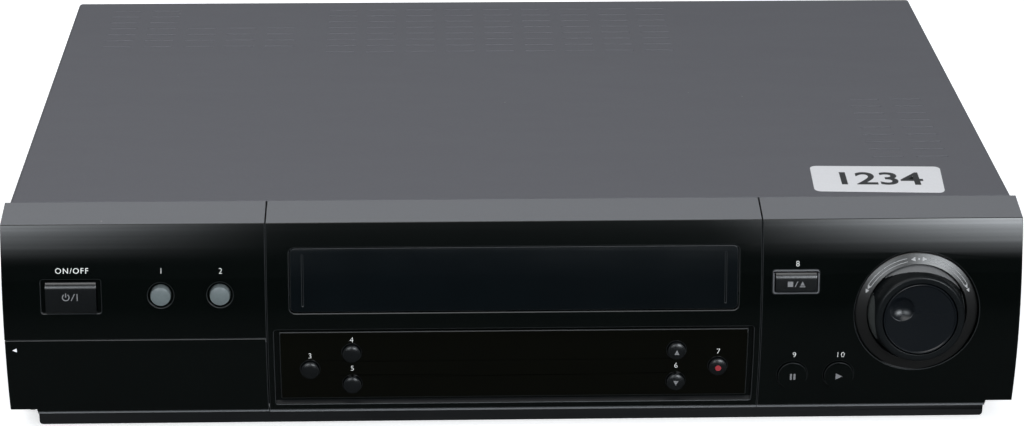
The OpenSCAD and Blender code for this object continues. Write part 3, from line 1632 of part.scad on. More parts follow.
module cassette_basket() {
    y1 = basket_y + basket_l;
    in_frame() color([0.7, 0.72, 0.74]) {
        for (s = [-1, 1]) {
            side_block(s, basket_half, basket_half + sheet_t, basket_y, y1,
                       basket_floor - sheet_t, basket_top + sheet_t);
            side_block(s, rail_in, basket_half + sheet_t / 2, basket_y, y1,
                       basket_floor - sheet_t, basket_floor);
            side_block(s, rail_stop, basket_half + sheet_t / 2, y1 - sheet_t, y1,
                       basket_floor - sheet_t, basket_floor + rail_stop_h);
            for (y = basket_pin_y)
                side_rod(s, y, basket_pin_z, guide_pin_r, basket_half + sheet_t / 2,
                         slider_in + slider_t - 0.1);
        }
        difference() {
            block(-basket_half - sheet_t / 2, basket_half + sheet_t / 2, basket_y, y1,
                  basket_top, basket_top + sheet_t);
            for (x = [-50, 0, 50])
                block(x - 15, x + 15, basket_y + 12, basket_y + 26, basket_top - over, basket_top + 2);
        }
    }
}

top_cover();
base_pan();
chassis_posts();
plinth();
rear_panel();
feet();
cover_screws();
fascia_left();
fascia_centre();
fascia_right();
cassette_door();
av_flap();
display_window();
scale_ring();
standby_button();
tape_button();
picture_button();
speed_button();
display_button();
audio_button();
channel_up_button();
channel_down_button();
record_button();
stop_button();
pause_button();
play_button();
shuttle_ring();
jog_dial();
knob_encoder();
front_board();
key_switches();
display_tube();
front_sockets();
main_board();
power_board();
board_parts();
transformer();
tuner_can();
mains_inlet();
scart_sockets();
rear_phono_sockets();
deck_plate();
lower_drum();
upper_drum();
capstan();
pinch_arm();
pinch_roller();
supply_reel();
takeup_reel();
idler_arm();
idler_wheel();
left_guide();
right_guide();
fixed_heads();
loading_motor();
motor_pinion();
cam_gear();
carriage_frame();
carriage_slider();
cassette_basket();
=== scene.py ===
"""Looks of a table-top video cassette recorder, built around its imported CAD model.

Lengths are millimetres, measured from the front top edge of the panel and the floor, until
a piece is finished: then its mesh is turned into metres in the model's own frame.
"""

from __future__ import annotations

import json
import logging
import math
from collections.abc import Callable, Iterable, Sequence
from dataclasses import dataclass, field
from enum import Enum

import bmesh
import bpy
from mathutils import Matrix, Vector

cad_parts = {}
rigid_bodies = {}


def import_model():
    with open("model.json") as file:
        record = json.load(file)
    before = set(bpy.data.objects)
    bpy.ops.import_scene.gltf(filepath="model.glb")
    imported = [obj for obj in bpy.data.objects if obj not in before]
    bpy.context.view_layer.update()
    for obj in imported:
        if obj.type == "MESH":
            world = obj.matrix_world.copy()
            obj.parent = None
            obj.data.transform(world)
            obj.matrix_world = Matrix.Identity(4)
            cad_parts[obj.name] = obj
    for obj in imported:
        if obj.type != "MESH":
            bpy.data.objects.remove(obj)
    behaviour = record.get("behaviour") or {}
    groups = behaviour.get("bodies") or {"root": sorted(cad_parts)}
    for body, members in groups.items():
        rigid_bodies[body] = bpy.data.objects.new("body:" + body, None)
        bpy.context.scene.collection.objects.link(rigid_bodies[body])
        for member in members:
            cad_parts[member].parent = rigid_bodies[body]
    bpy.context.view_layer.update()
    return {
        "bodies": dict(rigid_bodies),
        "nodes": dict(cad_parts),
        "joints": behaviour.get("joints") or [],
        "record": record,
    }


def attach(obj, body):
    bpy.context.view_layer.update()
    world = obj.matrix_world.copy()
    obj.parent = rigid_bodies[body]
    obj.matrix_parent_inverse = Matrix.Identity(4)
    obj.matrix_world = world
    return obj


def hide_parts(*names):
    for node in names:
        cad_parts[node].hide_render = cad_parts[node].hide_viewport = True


LOG = logging.getLogger("recorder")
MM = 0.001
FRAME_Y = -139.352
"""Shift along Y, in millimetres, from the front top edge to the model's own origin."""
ROOT = "recorder"
"""Body that the whole case rides on."""

Colour = tuple[float, float, float]
Mesh = bmesh.types.BMesh
Socket = bpy.types.NodeSocket
Material = bpy.types.Material


class Axis(Enum):
    """Directions that a rod can point in."""

    X = "x"
    Y = "y"
    Z = "z"

    def turn(self) -> Matrix:
        """Turns +Z to this direction.

        Returns:
            The turn.
        """
        if self is Axis.X:
            return Matrix.Rotation(math.radians(90), 4, "Y")
        if self is Axis.Y:
            return Matrix.Rotation(math.radians(-90), 4, "X")
        return Matrix.Identity(4)


class Mark(Enum):
    """Generic symbols that are printed on the buttons and the panel."""

    STOP = "stop"
    UP = "up"
    DOWN = "down"
    LEFT = "left"
    RIGHT = "right"
    PAUSE = "pause"
    DOT = "dot"
    SLASH = "slash"
    BAR = "bar"
    POWER = "power"


# Mesh tools


@dataclass(frozen=True)
class Drum:
    """The large round surface that the front panel's face lies on.

    Attributes:
        radius: Radius of the face, seen from the side.
        mid_z: Height at which the face stands furthest forward.
        edge_z: Height of the front top edge.
    """

    radius: float = 152.0
    mid_z: float = 43.2
    edge_z: float = 96.0

    @property
    def centre_y(self) -> float:
        """Distance of the drum's axis behind the front top edge."""
        return math.sqrt(self.radius**2 - (self.edge_z - self.mid_z) ** 2)

    def y(self, z: float, depth: float = 0.0) -> float:
        """Returns where the face, or a surface at a depth behind it, lies at a height."""
        return self.centre_y - math.sqrt((self.radius - depth) ** 2 - (z - self.mid_z) ** 2)

    def normal(self, z: float) -> Vector:
        """Returns the direction that the face looks in at a height."""
        rise = (z - self.mid_z) / self.radius
        return Vector((0.0, -math.sqrt(1.0 - rise * rise), rise))

    def place(self, x: float, z: float, out: float = 0.0) -> Matrix:
        """Returns the place of something that lies on the face.

        Args:
            x: Distance across from the middle.
            z: Height above the floor.
            out: How far it stands in front of the face.

        Returns:
            A matrix whose X runs across, whose Y runs up the face and whose Z points out of it.
        """
        out_dir = self.normal(z)
        up_dir = out_dir.cross(Vector((1.0, 0.0, 0.0)))
        turn = Matrix((Vector((1.0, 0.0, 0.0)), up_dir, out_dir)).transposed().to_4x4()
        where = Vector((x, self.y(z), z)) + out_dir * out
        return Matrix.Translation(where) @ turn


DRUM = Drum()


def block(x0: float, x1: float, y0: float, y1: float, z0: float, z1: float) -> Mesh:
    """Makes a box from its limits along each axis.

    Args:
        x0: Its left side.
        x1: Its right side.
        y0: Its front.
        y1: Its back.
        z0: Its bottom.
        z1: Its top.

    Returns:
        The box's mesh.
    """
    mesh = bmesh.new()
    size = Matrix.Diagonal((x1 - x0, y1 - y0, z1 - z0, 1.0))
    middle = Matrix.Translation(((x0 + x1) / 2, (y0 + y1) / 2, (z0 + z1) / 2))
    bmesh.ops.create_cube(mesh, size=1.0, matrix=middle @ size)
    return mesh


def edges_along(mesh: Mesh, axis: int, length: float) -> list[bmesh.types.BMEdge]:
    """Returns the edges that run further than a length along X (0), Y (1) or Z (2)."""
    return [e for e in mesh.edges if abs(e.verts[0].co[axis] - e.verts[1].co[axis]) > length]


def rounded(mesh: Mesh, edges: Sequence[bmesh.types.BMEdge], width: float,
            segments: int) -> list[bmesh.types.BMFace]:
    """Rounds some edges of a mesh and returns the new faces."""
    return bmesh.ops.bevel(mesh, geom=edges, offset=width, offset_type="OFFSET", affect="EDGES",
                           segments=segments, profile=0.5, material=-1, clamp_overlap=False)["faces"]


def thickened(mesh: Mesh, along: tuple[float, float, float]) -> Mesh:
    """Pulls a flat sheet out into a solid.

    Args:
        mesh: The sheet, changed in place.
        along: Which way and how far its faces are pulled.

    Returns:
        The same mesh.
    """
    grown = bmesh.ops.extrude_face_region(mesh, geom=mesh.faces[:])
    moved = [g for g in grown["geom"] if isinstance(g, bmesh.types.BMVert)]
    bmesh.ops.translate(mesh, verts=moved, vec=along)
    bmesh.ops.recalc_face_normals(mesh, faces=mesh.faces)
    return mesh


def rod(axis: Axis, start: Sequence[float], length: float, radius: float, end_radius: float | None = None,
        segments: int = 48) -> Mesh:
    """Makes a round rod or cone.

    Args:
        axis: Direction that it runs in.
        start: Middle of its first end.
        length: Its length along the axis.
        radius: Radius at its first end.
        end_radius: Radius at its far end, or None where both are the same.
        segments: Number of sides.

    Returns:
        The rod's mesh.
    """
    mesh = bmesh.new()
    turn = axis.turn()
    middle = Vector(start) + turn.to_3x3() @ Vector((0, 0, length / 2))
    bmesh.ops.create_cone(mesh, cap_ends=True, segments=segments, radius1=radius,
                          radius2=radius if end_radius is None else end_radius, depth=length,
                          matrix=Matrix.Translation(middle) @ turn)
    return mesh


def round_bar(x: float, z: float, width: float, height: float, radius: float, y0: float,
              y1: float, segments: int = 6) -> Mesh:
    """Makes a bar along Y whose four long edges are rounded.

    Args:
        x: Its middle across.
        z: Its middle height.
        width: Its width.
        height: Its height.
        radius: Radius of its long edges.
        y0: Its front end.
        y1: Its back end.
        segments: Number of strips in each rounding.

    Returns:
        The bar's mesh.
    """
    mesh = block(x - width / 2, x + width / 2, y0, y1, z - height / 2, z + height / 2)
    rounded(mesh, edges_along(mesh, 1, (y1 - y0) / 2), radius, segments)
    return mesh


def lathe(outline: Sequence[tuple[float, float]], place: Matrix, steps: int = 96) -> Mesh:
    """Spins an outline of (radius, height) points round its own Z and places it.

    Args:
        outline: The points.
        place: Where the result goes.
        steps: Number of steps round it.

    Returns:
        The turned mesh.
    """
    mesh = bmesh.new()
    verts = [mesh.verts.new((r, 0.0, h)) for r, h in outline]
    edges = [mesh.edges.new(pair) for pair in zip(verts, verts[1:])]
    bmesh.ops.spin(mesh, geom=verts + edges, axis=(0, 0, 1), cent=(0, 0, 0), steps=steps,
                   angle=math.tau, use_merge=True)
    bmesh.ops.remove_doubles(mesh, verts=mesh.verts, dist=1e-3)
    bmesh.ops.recalc_face_normals(mesh, faces=mesh.faces)
    mesh.transform(place)
    return mesh


def drum_bar(x0: float, x1: float, depth: float, z0: float, z1: float, back: float,
             top: Sequence[tuple[float, float]] = (), steps: int = 48) -> Mesh:
    """Makes a bar along X whose front follows the panel's face.

    Args:
        x0: Its left end.
        x1: Its right end.
        depth: How far its front lies behind the face.
        z0: Height of its bottom.
        z1: Height at which its front ends.
        back: Where its flat back lies.
        top: Points (y, z) that its outline goes through between the front's top and the back.
        steps: Number of flat strips in its front.

    Returns:
        The bar's mesh.
    """
    mesh = bmesh.new()
    radius = DRUM.radius - depth
    low, high = (math.asin((z - DRUM.mid_z) / radius) for z in (z0, z1))
    first = mesh.verts.new((x0, DRUM.y(z0, depth), z0))
    bmesh.ops.spin(mesh, geom=[first], axis=(1, 0, 0), cent=(x0, DRUM.centre_y, DRUM.mid_z),
                   steps=steps, angle=low - high)
    chain = sorted(mesh.verts, key=lambda v: v.co.z)
    corners = [mesh.verts.new((x0, y, z)) for y, z in (*top, (back, top[-1][1] if top else z1),
                                                       (back, z0))]
    if top and abs(top[-1][0] - back) < 1e-6:
        mesh.verts.remove(corners.pop(-2))
    loop = [chain[-1], *corners, chain[0]]
    for pair in zip(loop, loop[1:]):
        mesh.edges.new(pair)
    bmesh.ops.contextual_create(mesh, geom=mesh.edges[:])
    return thickened(mesh, (x1 - x0, 0, 0))


def joined(parts: Iterable[Mesh]) -> Mesh:
    """Puts several meshes into one and frees them.

    Args:
        parts: The meshes.

    Returns:
        The one mesh.
    """
    whole = bmesh.new()
    for part in parts:
        spare = bpy.data.meshes.new("spare")
        part.to_mesh(spare)
        part.free()
        whole.from_mesh(spare)
        bpy.data.meshes.remove(spare)
    return whole


def combined(body: Mesh, tools: Sequence[Mesh], operation: str = "DIFFERENCE") -> Mesh:
    """Cuts tools out of a body, or joins them to it or keeps what they share.

    Args:
        body: The solid that is worked on; it is freed.
        tools: Closed solids; they are freed too.
        operation: DIFFERENCE, UNION or INTERSECT.

    Returns:
        The new solid.
    """
    hosts = []
    for mesh in (body, *tools):
        data = bpy.data.meshes.new("tool")
        mesh.to_mesh(data)
        mesh.free()
        host = bpy.data.objects.new("tool", data)
        bpy.context.scene.collection.objects.link(host)
        hosts.append(host)
    for tool in hosts[1:]:
        cut = hosts[0].modifiers.new("cut", "BOOLEAN")
        cut.object = tool
        cut.operation = operation
        cut.solver = "EXACT"
    graph = bpy.context.evaluated_depsgraph_get()
    done = bpy.data.meshes.new_from_object(hosts[0].evaluated_get(graph))
    result = bmesh.new()
    result.from_mesh(done)
    bpy.data.meshes.remove(done)
    for host in hosts:
        data = host.data
        bpy.data.objects.remove(host)
        bpy.data.meshes.remove(data)
    return result


def cut(body: Mesh, *tools: Mesh) -> Mesh:
    """Cuts solids out of a body."""
    return combined(body, tools)


def fused(body: Mesh, *tools: Mesh) -> Mesh:
    """Joins solids to a body."""
    return combined(body, tools, "UNION")


def soften(mesh: Mesh, width: float, segments: int = 2, angle: float = 32.0,
           where: Callable[[Vector], bool] = lambda point: True, mark: int = 0) -> Mesh:
    """Rounds or chamfers the outer hard edges of a solid.

    Args:
        mesh: The solid, changed in place.
        width: Width of the rounding.
        segments: Number of strips in it, or 1 for a chamfer.
        angle: Least angle between two faces, in degrees, that counts as a hard edge.
        where: Says whether an edge with its middle at a point is rounded.
        mark: Number of the material that the new faces get.

    Returns:
        The same mesh.
    """
    bmesh.ops.remove_doubles(mesh, verts=mesh.verts, dist=0.015)
    bmesh.ops.dissolve_degenerate(mesh, dist=0.005, edges=mesh.edges)
    hard = [e for e in mesh.edges if len(e.link_faces) == 2 and e.is_convex
            and e.calc_face_angle(0.0) > math.radians(angle)
            and where((e.verts[0].co + e.verts[1].co) / 2)]
    for face in rounded(mesh, hard, width, segments):
        face.material_index = mark
    return mesh


def finish_piece(name: str, mesh: Mesh, finishes: Sequence[Material],
                 body: str = ROOT, replaces: Sequence[str] = (),
                 pick: Callable[[bmesh.types.BMFace], int] | None = None,
                 sharp: float = 38.0) -> bpy.types.Object:
    """Turns a mesh into a finished piece that rides on its body.

    Args:
        name: The piece's name.
        mesh: Its mesh in millimetres; it is freed.
        finishes: Its materials.
        body: The body that it rides on.
        replaces: The CAD nodes that it stands for.
        pick: Says which of the materials a face has, before it is turned into metres.
        sharp: Angle in degrees over which an edge is shaded as a corner.

    Returns:
        The new object.
    """
    if pick is not None:
        for face in mesh.faces:
            face.material_index = pick(face)
    bmesh.ops.scale(mesh, vec=(MM, MM, MM), verts=mesh.verts)
    bmesh.ops.translate(mesh, vec=(0, FRAME_Y * MM, 0), verts=mesh.verts)
    for face in mesh.faces:
        face.smooth = True
    data = bpy.data.meshes.new(name)
    mesh.to_mesh(data)
    mesh.free()
    data.set_sharp_from_angle(angle=math.radians(sharp))
    for finish in finishes:
        data.materials.append(finish)
    piece = bpy.data.objects.new(name, data)
    bpy.context.scene.collection.objects.link(piece)
    even = piece.modifiers.new("even_normals", "WEIGHTED_NORMAL")
    even.keep_sharp = True
    even.weight = 100
    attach(piece, body)
    if replaces:
        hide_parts(*replaces)
    LOG.info("%s: %d faces", name, len(data.polygons))
    return piece


# Shader tools


class Tree:
    """Adds nodes to the tree of a material or of a node group."""

    def __init__(self, tree: bpy.types.NodeTree) -> None:
        """Takes the tree that nodes go into."""
        self.tree = tree

    def add(self, kind: str, inputs: dict | None = None, **settings: object) -> bpy.types.Node:
        """Adds a node.

        Args:
            kind: The node's type, without its ShaderNode prefix.
            inputs: What each input gets, by name or number: a socket to link, or a value.
            **settings: The node's own settings.

        Returns:
            The new node.
        """
        node = self.tree.nodes.new("ShaderNode" + kind)
        for key, value in settings.items():
            setattr(node, key, value)
        for key, value in (inputs or {}).items():
            self.feed(node.inputs[key], value)
        return node

    def feed(self, socket: Socket, value: object) -> None:
        """Links a socket to an input, or sets the input to a value.

        Args:
            socket: The input.
            value: What it gets: a socket to link, or a value.
        """
        if isinstance(value, Socket):
            self.link(value, socket)
        else:
            socket.default_value = value

    def noise(self, vector: Socket, scale: float, detail: float = 3.0,
              roughness: float = 0.5) -> Socket:
        """Adds a noise and returns its factor."""
        return self.add("TexNoise", {"Vector": vector, "Scale": scale, "Detail": detail,
                                     "Roughness": roughness}).outputs["Fac"]

    def ranged(self, value: Socket, low: float, high: float, to_low: float = 0.0,
               to_high: float = 1.0) -> Socket:
        """Maps a value from one range to another and clamps it."""
        return self.add("MapRange", {"Value": value, "From Min": low, "From Max": high,
                                     "To Min": to_low, "To Max": to_high}).outputs["Result"]

    def maths(self, operation: str, a: object, b: object = 0.0) -> Socket:
        """Adds a sum of one or two values and returns its result."""
        return self.add("Math", {0: a, 1: b}, operation=operation).outputs[0]

    def mix(self, factor: object, a: object, b: object) -> Socket:
        """Mixes two colours and returns the result.

        Args:
            factor: Share of the second colour.
            a: The first colour.
            b: The second colour.

        Returns:
            The mixed colour.
        """
        node = self.add("Mix", data_type="RGBA")
        for socket, value in zip((node.inputs[0], node.inputs[6], node.inputs[7]), (factor, a, b)):
            self.feed(socket, value)
        return node.outputs[2]

    def times(self, value: Socket, *others: object) -> Socket:
        """Multiplies a value by others, one after another, and returns the result."""
        for other in others:
            value = self.maths("MULTIPLY", value, other)
        return value

    def link(self, value: Socket, socket: Socket) -> None:
        """Links an output to an input."""
        self.tree.links.new(value, socket)

    def group(self, tree: bpy.types.NodeTree, inputs: dict) -> bpy.types.Node:
        """Places a node group.

        Args:
            tree: The group.
            inputs: What each input gets: a socket to link, or a value.

        Returns:
            The group's node.
        """
        node = self.tree.nodes.new("ShaderNodeGroup")
        node.node_tree = tree
        for key, value in inputs.items():
            self.feed(node.inputs[key], value)
        return node


def new_group(name: str, inputs: dict[str, float], outputs: Sequence[str]
              ) -> tuple[Tree, bpy.types.Node, bpy.types.Node]:
    """Starts a node group with a Vector input.

    Args:
        name: The group's name.
        inputs: Its number inputs and their first values.
        outputs: Its number outputs.

    Returns:
        What adds nodes to it, its input node and its output node.
    """
    tree = bpy.data.node_groups.new(name, "ShaderNodeTree")
    tree.interface.new_socket("Vector", in_out="INPUT", socket_type="NodeSocketVector")
    for key, value in inputs.items():
        socket = tree.interface.new_socket(key, in_out="INPUT", socket_type="NodeSocketFloat")
        socket.default_value = value
    for key in outputs:
        tree.interface.new_socket(key, in_out="OUTPUT", socket_type="NodeSocketFloat")
    return Tree(tree), tree.nodes.new("NodeGroupInput"), tree.nodes.new("NodeGroupOutput")


class Effects:
    """The node groups that several finishes share, each built once."""

    def __init__(self) -> None:
        """Builds every group."""
        self.grain = self._grain()
        self.dust = self._dust()
        self.scratches = self._scratches()
        self.smears = self._smears()

    def _grain(self) -> bpy.types.NodeTree:
        """Builds the fine grain of moulded plastic and stove enamel.

        Returns:
            The group.
        """
        tools, source, sink = new_group("moulded_grain", {"Size": 2600.0}, ("Height", "Tone"))
        fine = tools.add("TexNoise", {"Vector": source.outputs["Vector"], "Scale": source.outputs["Size"],
                                      "Detail": 2.0, "Roughness": 0.6}).outputs["Fac"]
        third = tools.times(source.outputs["Size"], 0.31)
        coarse = tools.add("TexNoise", {"Vector": source.outputs["Vector"], "Scale": third,
                                        "Detail": 2.0}).outputs["Fac"]
        total = tools.maths("ADD", fine, tools.times(coarse, 0.5))
        tools.link(total, sink.inputs["Height"])
        tools.link(tools.ranged(total, 0.45, 1.05), sink.inputs["Tone"])
        return tools.tree

    def _dust(self) -> bpy.types.NodeTree:
        """Builds sparse specks of dust, a fraction of a millimetre wide.

        Returns:
            The group.
        """
        tools, source, sink = new_group("dust_specks", {"Density": 160.0, "Share": 0.05}, ("Mask",))
        cells = tools.add("TexVoronoi", {"Vector": source.outputs["Vector"],
                                         "Scale": source.outputs["Density"], "Randomness": 1.0})
        near = tools.ranged(cells.outputs["Distance"], 0.03, 0.07, 1.0, 0.0)
        chosen = tools.add("SeparateColor", {"Color": cells.outputs["Color"]}).outputs["Red"]
        kept = tools.maths("LESS_THAN", chosen, source.outputs["Share"])
        tools.link(tools.times(near, kept), sink.inputs["Mask"])
        return tools.tree

    def _scratches(self) -> bpy.types.NodeTree:
        """Builds a few long hairline scratches.

        Returns:
            The group.
        """
        tools, source, sink = new_group("hairline_scratches", {"Density": 9.0, "Share": 0.5}, ("Mask",))
        bent = tools.add("TexNoise", {"Vector": source.outputs["Vector"], "Scale": 14.0, "Detail": 1.0})
        offset = tools.add("VectorMath", {0: bent.outputs["Color"], 1: (0.02, 0.02, 0.02)},
                           operation="MULTIPLY").outputs[0]
        moved = tools.add("VectorMath", {0: source.outputs["Vector"], 1: offset}).outputs[0]
        cells = tools.add("TexVoronoi", {"Vector": moved, "Scale": source.outputs["Density"],
                                         "Randomness": 1.0}, feature="DISTANCE_TO_EDGE")
        line = tools.ranged(cells.outputs["Distance"], 0.0002, 0.0011, 1.0, 0.0)
        patch = tools.noise(source.outputs["Vector"], 33.0, 2.0)
        kept = tools.maths("GREATER_THAN", patch, source.outputs["Share"])
        tools.link(tools.times(line, kept), sink.inputs["Mask"])
        return tools.tree

    def _smears(self) -> bpy.types.NodeTree:
        """Builds soft uneven patches, as handling and a cloth leave.

        Returns:
            The group.
        """
        tools, source, sink = new_group("wiped_smears", {"Size": 18.0}, ("Mask",))
        long_way = tools.add("Mapping", {"Vector": source.outputs["Vector"], "Scale": (0.35, 1.0, 1.0)})
        wide = tools.add("TexNoise", {"Vector": long_way.outputs[0], "Scale": source.outputs["Size"],
                                      "Detail": 4.0, "Roughness": 0.62}).outputs["Fac"]
        tools.link(tools.ranged(wide, 0.38, 0.68), sink.inputs["Mask"])
        return tools.tree


@dataclass(frozen=True)
class Finish:
    """A plain or grained finish, with optional dust, scratches and smears.

    Attributes:
        name: The material's name.
        colour: Its base colour.
        variation: How far the colour strays with the grain, from 0 to 1.
        roughness: Its roughness.
        smear: How much the smears add to the roughness.
        metallic: 1 for bare metal.
        grain: Grains per metre and their height, in thousandths of a millimetre.
        dust: Share of the cells that hold a speck of dust.
        dust_colour: Colour of the dust.
        scratches: Share over which scratches show, or 1 for none.
        specular: Specular level.
    """

    name: str
    colour: Colour
    variation: float = 0.12
    roughness: float = 0.5
    smear: float = 0.08
    metallic: float = 0.0
    grain: tuple[float, float] = (2600.0, 20.0)
    dust: float = 0.0
    dust_colour: Colour = (0.42, 0.41, 0.38)
    scratches: float = 1.0
    specular: float = 0.5

    def start(self) -> tuple[Material, Tree, bpy.types.Node, Socket]:
        """Starts the material.

        Returns:
            The material, its tree, its shader and the object's own coordinates.
        """
        material = bpy.data.materials.new(self.name)
        material.use_nodes = True
        tools = Tree(material.node_tree)
        shader = material.node_tree.nodes["Principled BSDF"]
        shader.inputs["Metallic"].default_value = self.metallic
        shader.inputs["Specular IOR Level"].default_value = self.specular
        where = tools.add("TexCoord").outputs["Object"]
        return material, tools, shader, where

    def tones(self, tools: Tree, where: Socket, effects: Effects) -> Socket:
        """Returns the base colour with the grain's variation.

        Args:
            tools: Adds the nodes.
            where: The object's coordinates.
            effects: The shared effects.

        Returns:
            The colour.
        """
        grain = tools.group(effects.grain, {"Vector": where, "Size": self.grain[0]})
        light = tuple(min(1.0, c * (1 + self.variation)) for c in self.colour) + (1.0,)
        dark = tuple(c * (1 - self.variation) for c in self.colour) + (1.0,)
        return tools.mix(grain.outputs["Tone"], dark, light)

    def build(self, effects: Effects) -> Material:
        """Builds the material from the shared effects.

        Args:
            effects: The shared effects.

        Returns:
            The material.
        """
        material, tools, shader, where = self.start()
        colour = self.tones(tools, where, effects)
        smears = tools.group(effects.smears, {"Vector": where}).outputs["Mask"]
        rough = tools.ranged(smears, 0.0, 1.0, self.roughness, self.roughness + self.smear)
        grain = tools.group(effects.grain, {"Vector": where, "Size": self.grain[0]})
        height = grain.outputs["Height"]
        if self.scratches < 1.0:
            lines = tools.group(effects.scratches, {"Vector": where, "Share": self.scratches})
            colour = tools.mix(tools.times(lines.outputs["Mask"], 0.15), colour,
                               self.dust_colour + (1.0,))
            rough = tools.maths("ADD", rough, tools.times(lines.outputs["Mask"], 0.1))
        if self.dust > 0.0:
            specks = tools.group(effects.dust, {"Vector": where, "Share": self.dust})
            colour = tools.mix(tools.times(specks.outputs["Mask"], 0.6), colour,
                               self.dust_colour + (1.0,))
            rough = tools.maths("MAXIMUM", rough, specks.outputs["Mask"])
        bump = tools.add("Bump", {"Height": height, "Distance": self.grain[1] * 1e-6, "Strength": 1.0})
        tools.link(colour, shader.inputs["Base Color"])
        tools.link(rough, shader.inputs["Roughness"])
        tools.link(bump.outputs["Normal"], shader.inputs["Normal"])
        return material


@dataclass(frozen=True)
class GripFinish(Finish):
    """Moulded plastic with rows of small raised dots.

    Attributes:
        dots: Dots per metre.
        dot_h: Height of a dot, in metres.
    """

    dots: float = 900.0
    dot_h: float = 0.0002

    def build(self, effects: Effects) -> Material:
        """Builds the material with its dots.

        Args:
            effects: The shared effects.

        Returns:
            The material.
        """
        material = super().build(effects)
        tools = Tree(material.node_tree)
        shader = material.node_tree.nodes["Principled BSDF"]
        where = tools.add("TexCoord").outputs["Object"]
        cells = tools.add("TexVoronoi", {"Vector": where, "Scale": self.dots, "Randomness": 0.15})
        height = tools.ranged(cells.outputs["Distance"], 0.15, 0.40, 1.0, 0.0)
        bump = tools.add("Bump", {"Height": height, "Distance": self.dot_h, "Strength": 1.0})
        tools.link(bump.outputs["Normal"], shader.inputs["Normal"])
        return material


@dataclass(frozen=True)
class LensFinish(Finish):
    """Milky plastic that lets some light through.

    Attributes:
        glow: Share of the light that goes in.
        reach: How far each colour of it travels, in metres.
    """

    glow: float = 0.35
    reach: Colour = (0.002, 0.0022, 0.0021)

    def build(self, effects: Effects) -> Material:
        """Builds the material with a little light inside it.

        Args:
            effects: The shared effects.

        Returns:
            The material.
        """
        material = super().build(effects)
        shader = material.node_tree.nodes["Principled BSDF"]
        shader.inputs["Subsurface Weight"].default_value = self.glow
        shader.inputs["Subsurface Radius"].default_value = self.reach
        shader.inputs["Subsurface Scale"].default_value = 1.0
        return material


@dataclass(frozen=True)
class Ink(Finish):
    """Printed ink, smoother and more even than the plastic under it."""

    variation: float = 0.06
    roughness: float = 0.45
    smear: float = 0.10
    grain: tuple[float, float] = (2400.0, 4.0)


@dataclass(frozen=True)
class Satin(Finish):
    """Fine satin plastic, as on keys; on edges its pale tone is a painted highlight line."""

    grain: tuple[float, float] = (2400.0, 6.0)


@dataclass(frozen=True)
class Metal(Finish):
    """Bare metal."""

    metallic: float = 1.0


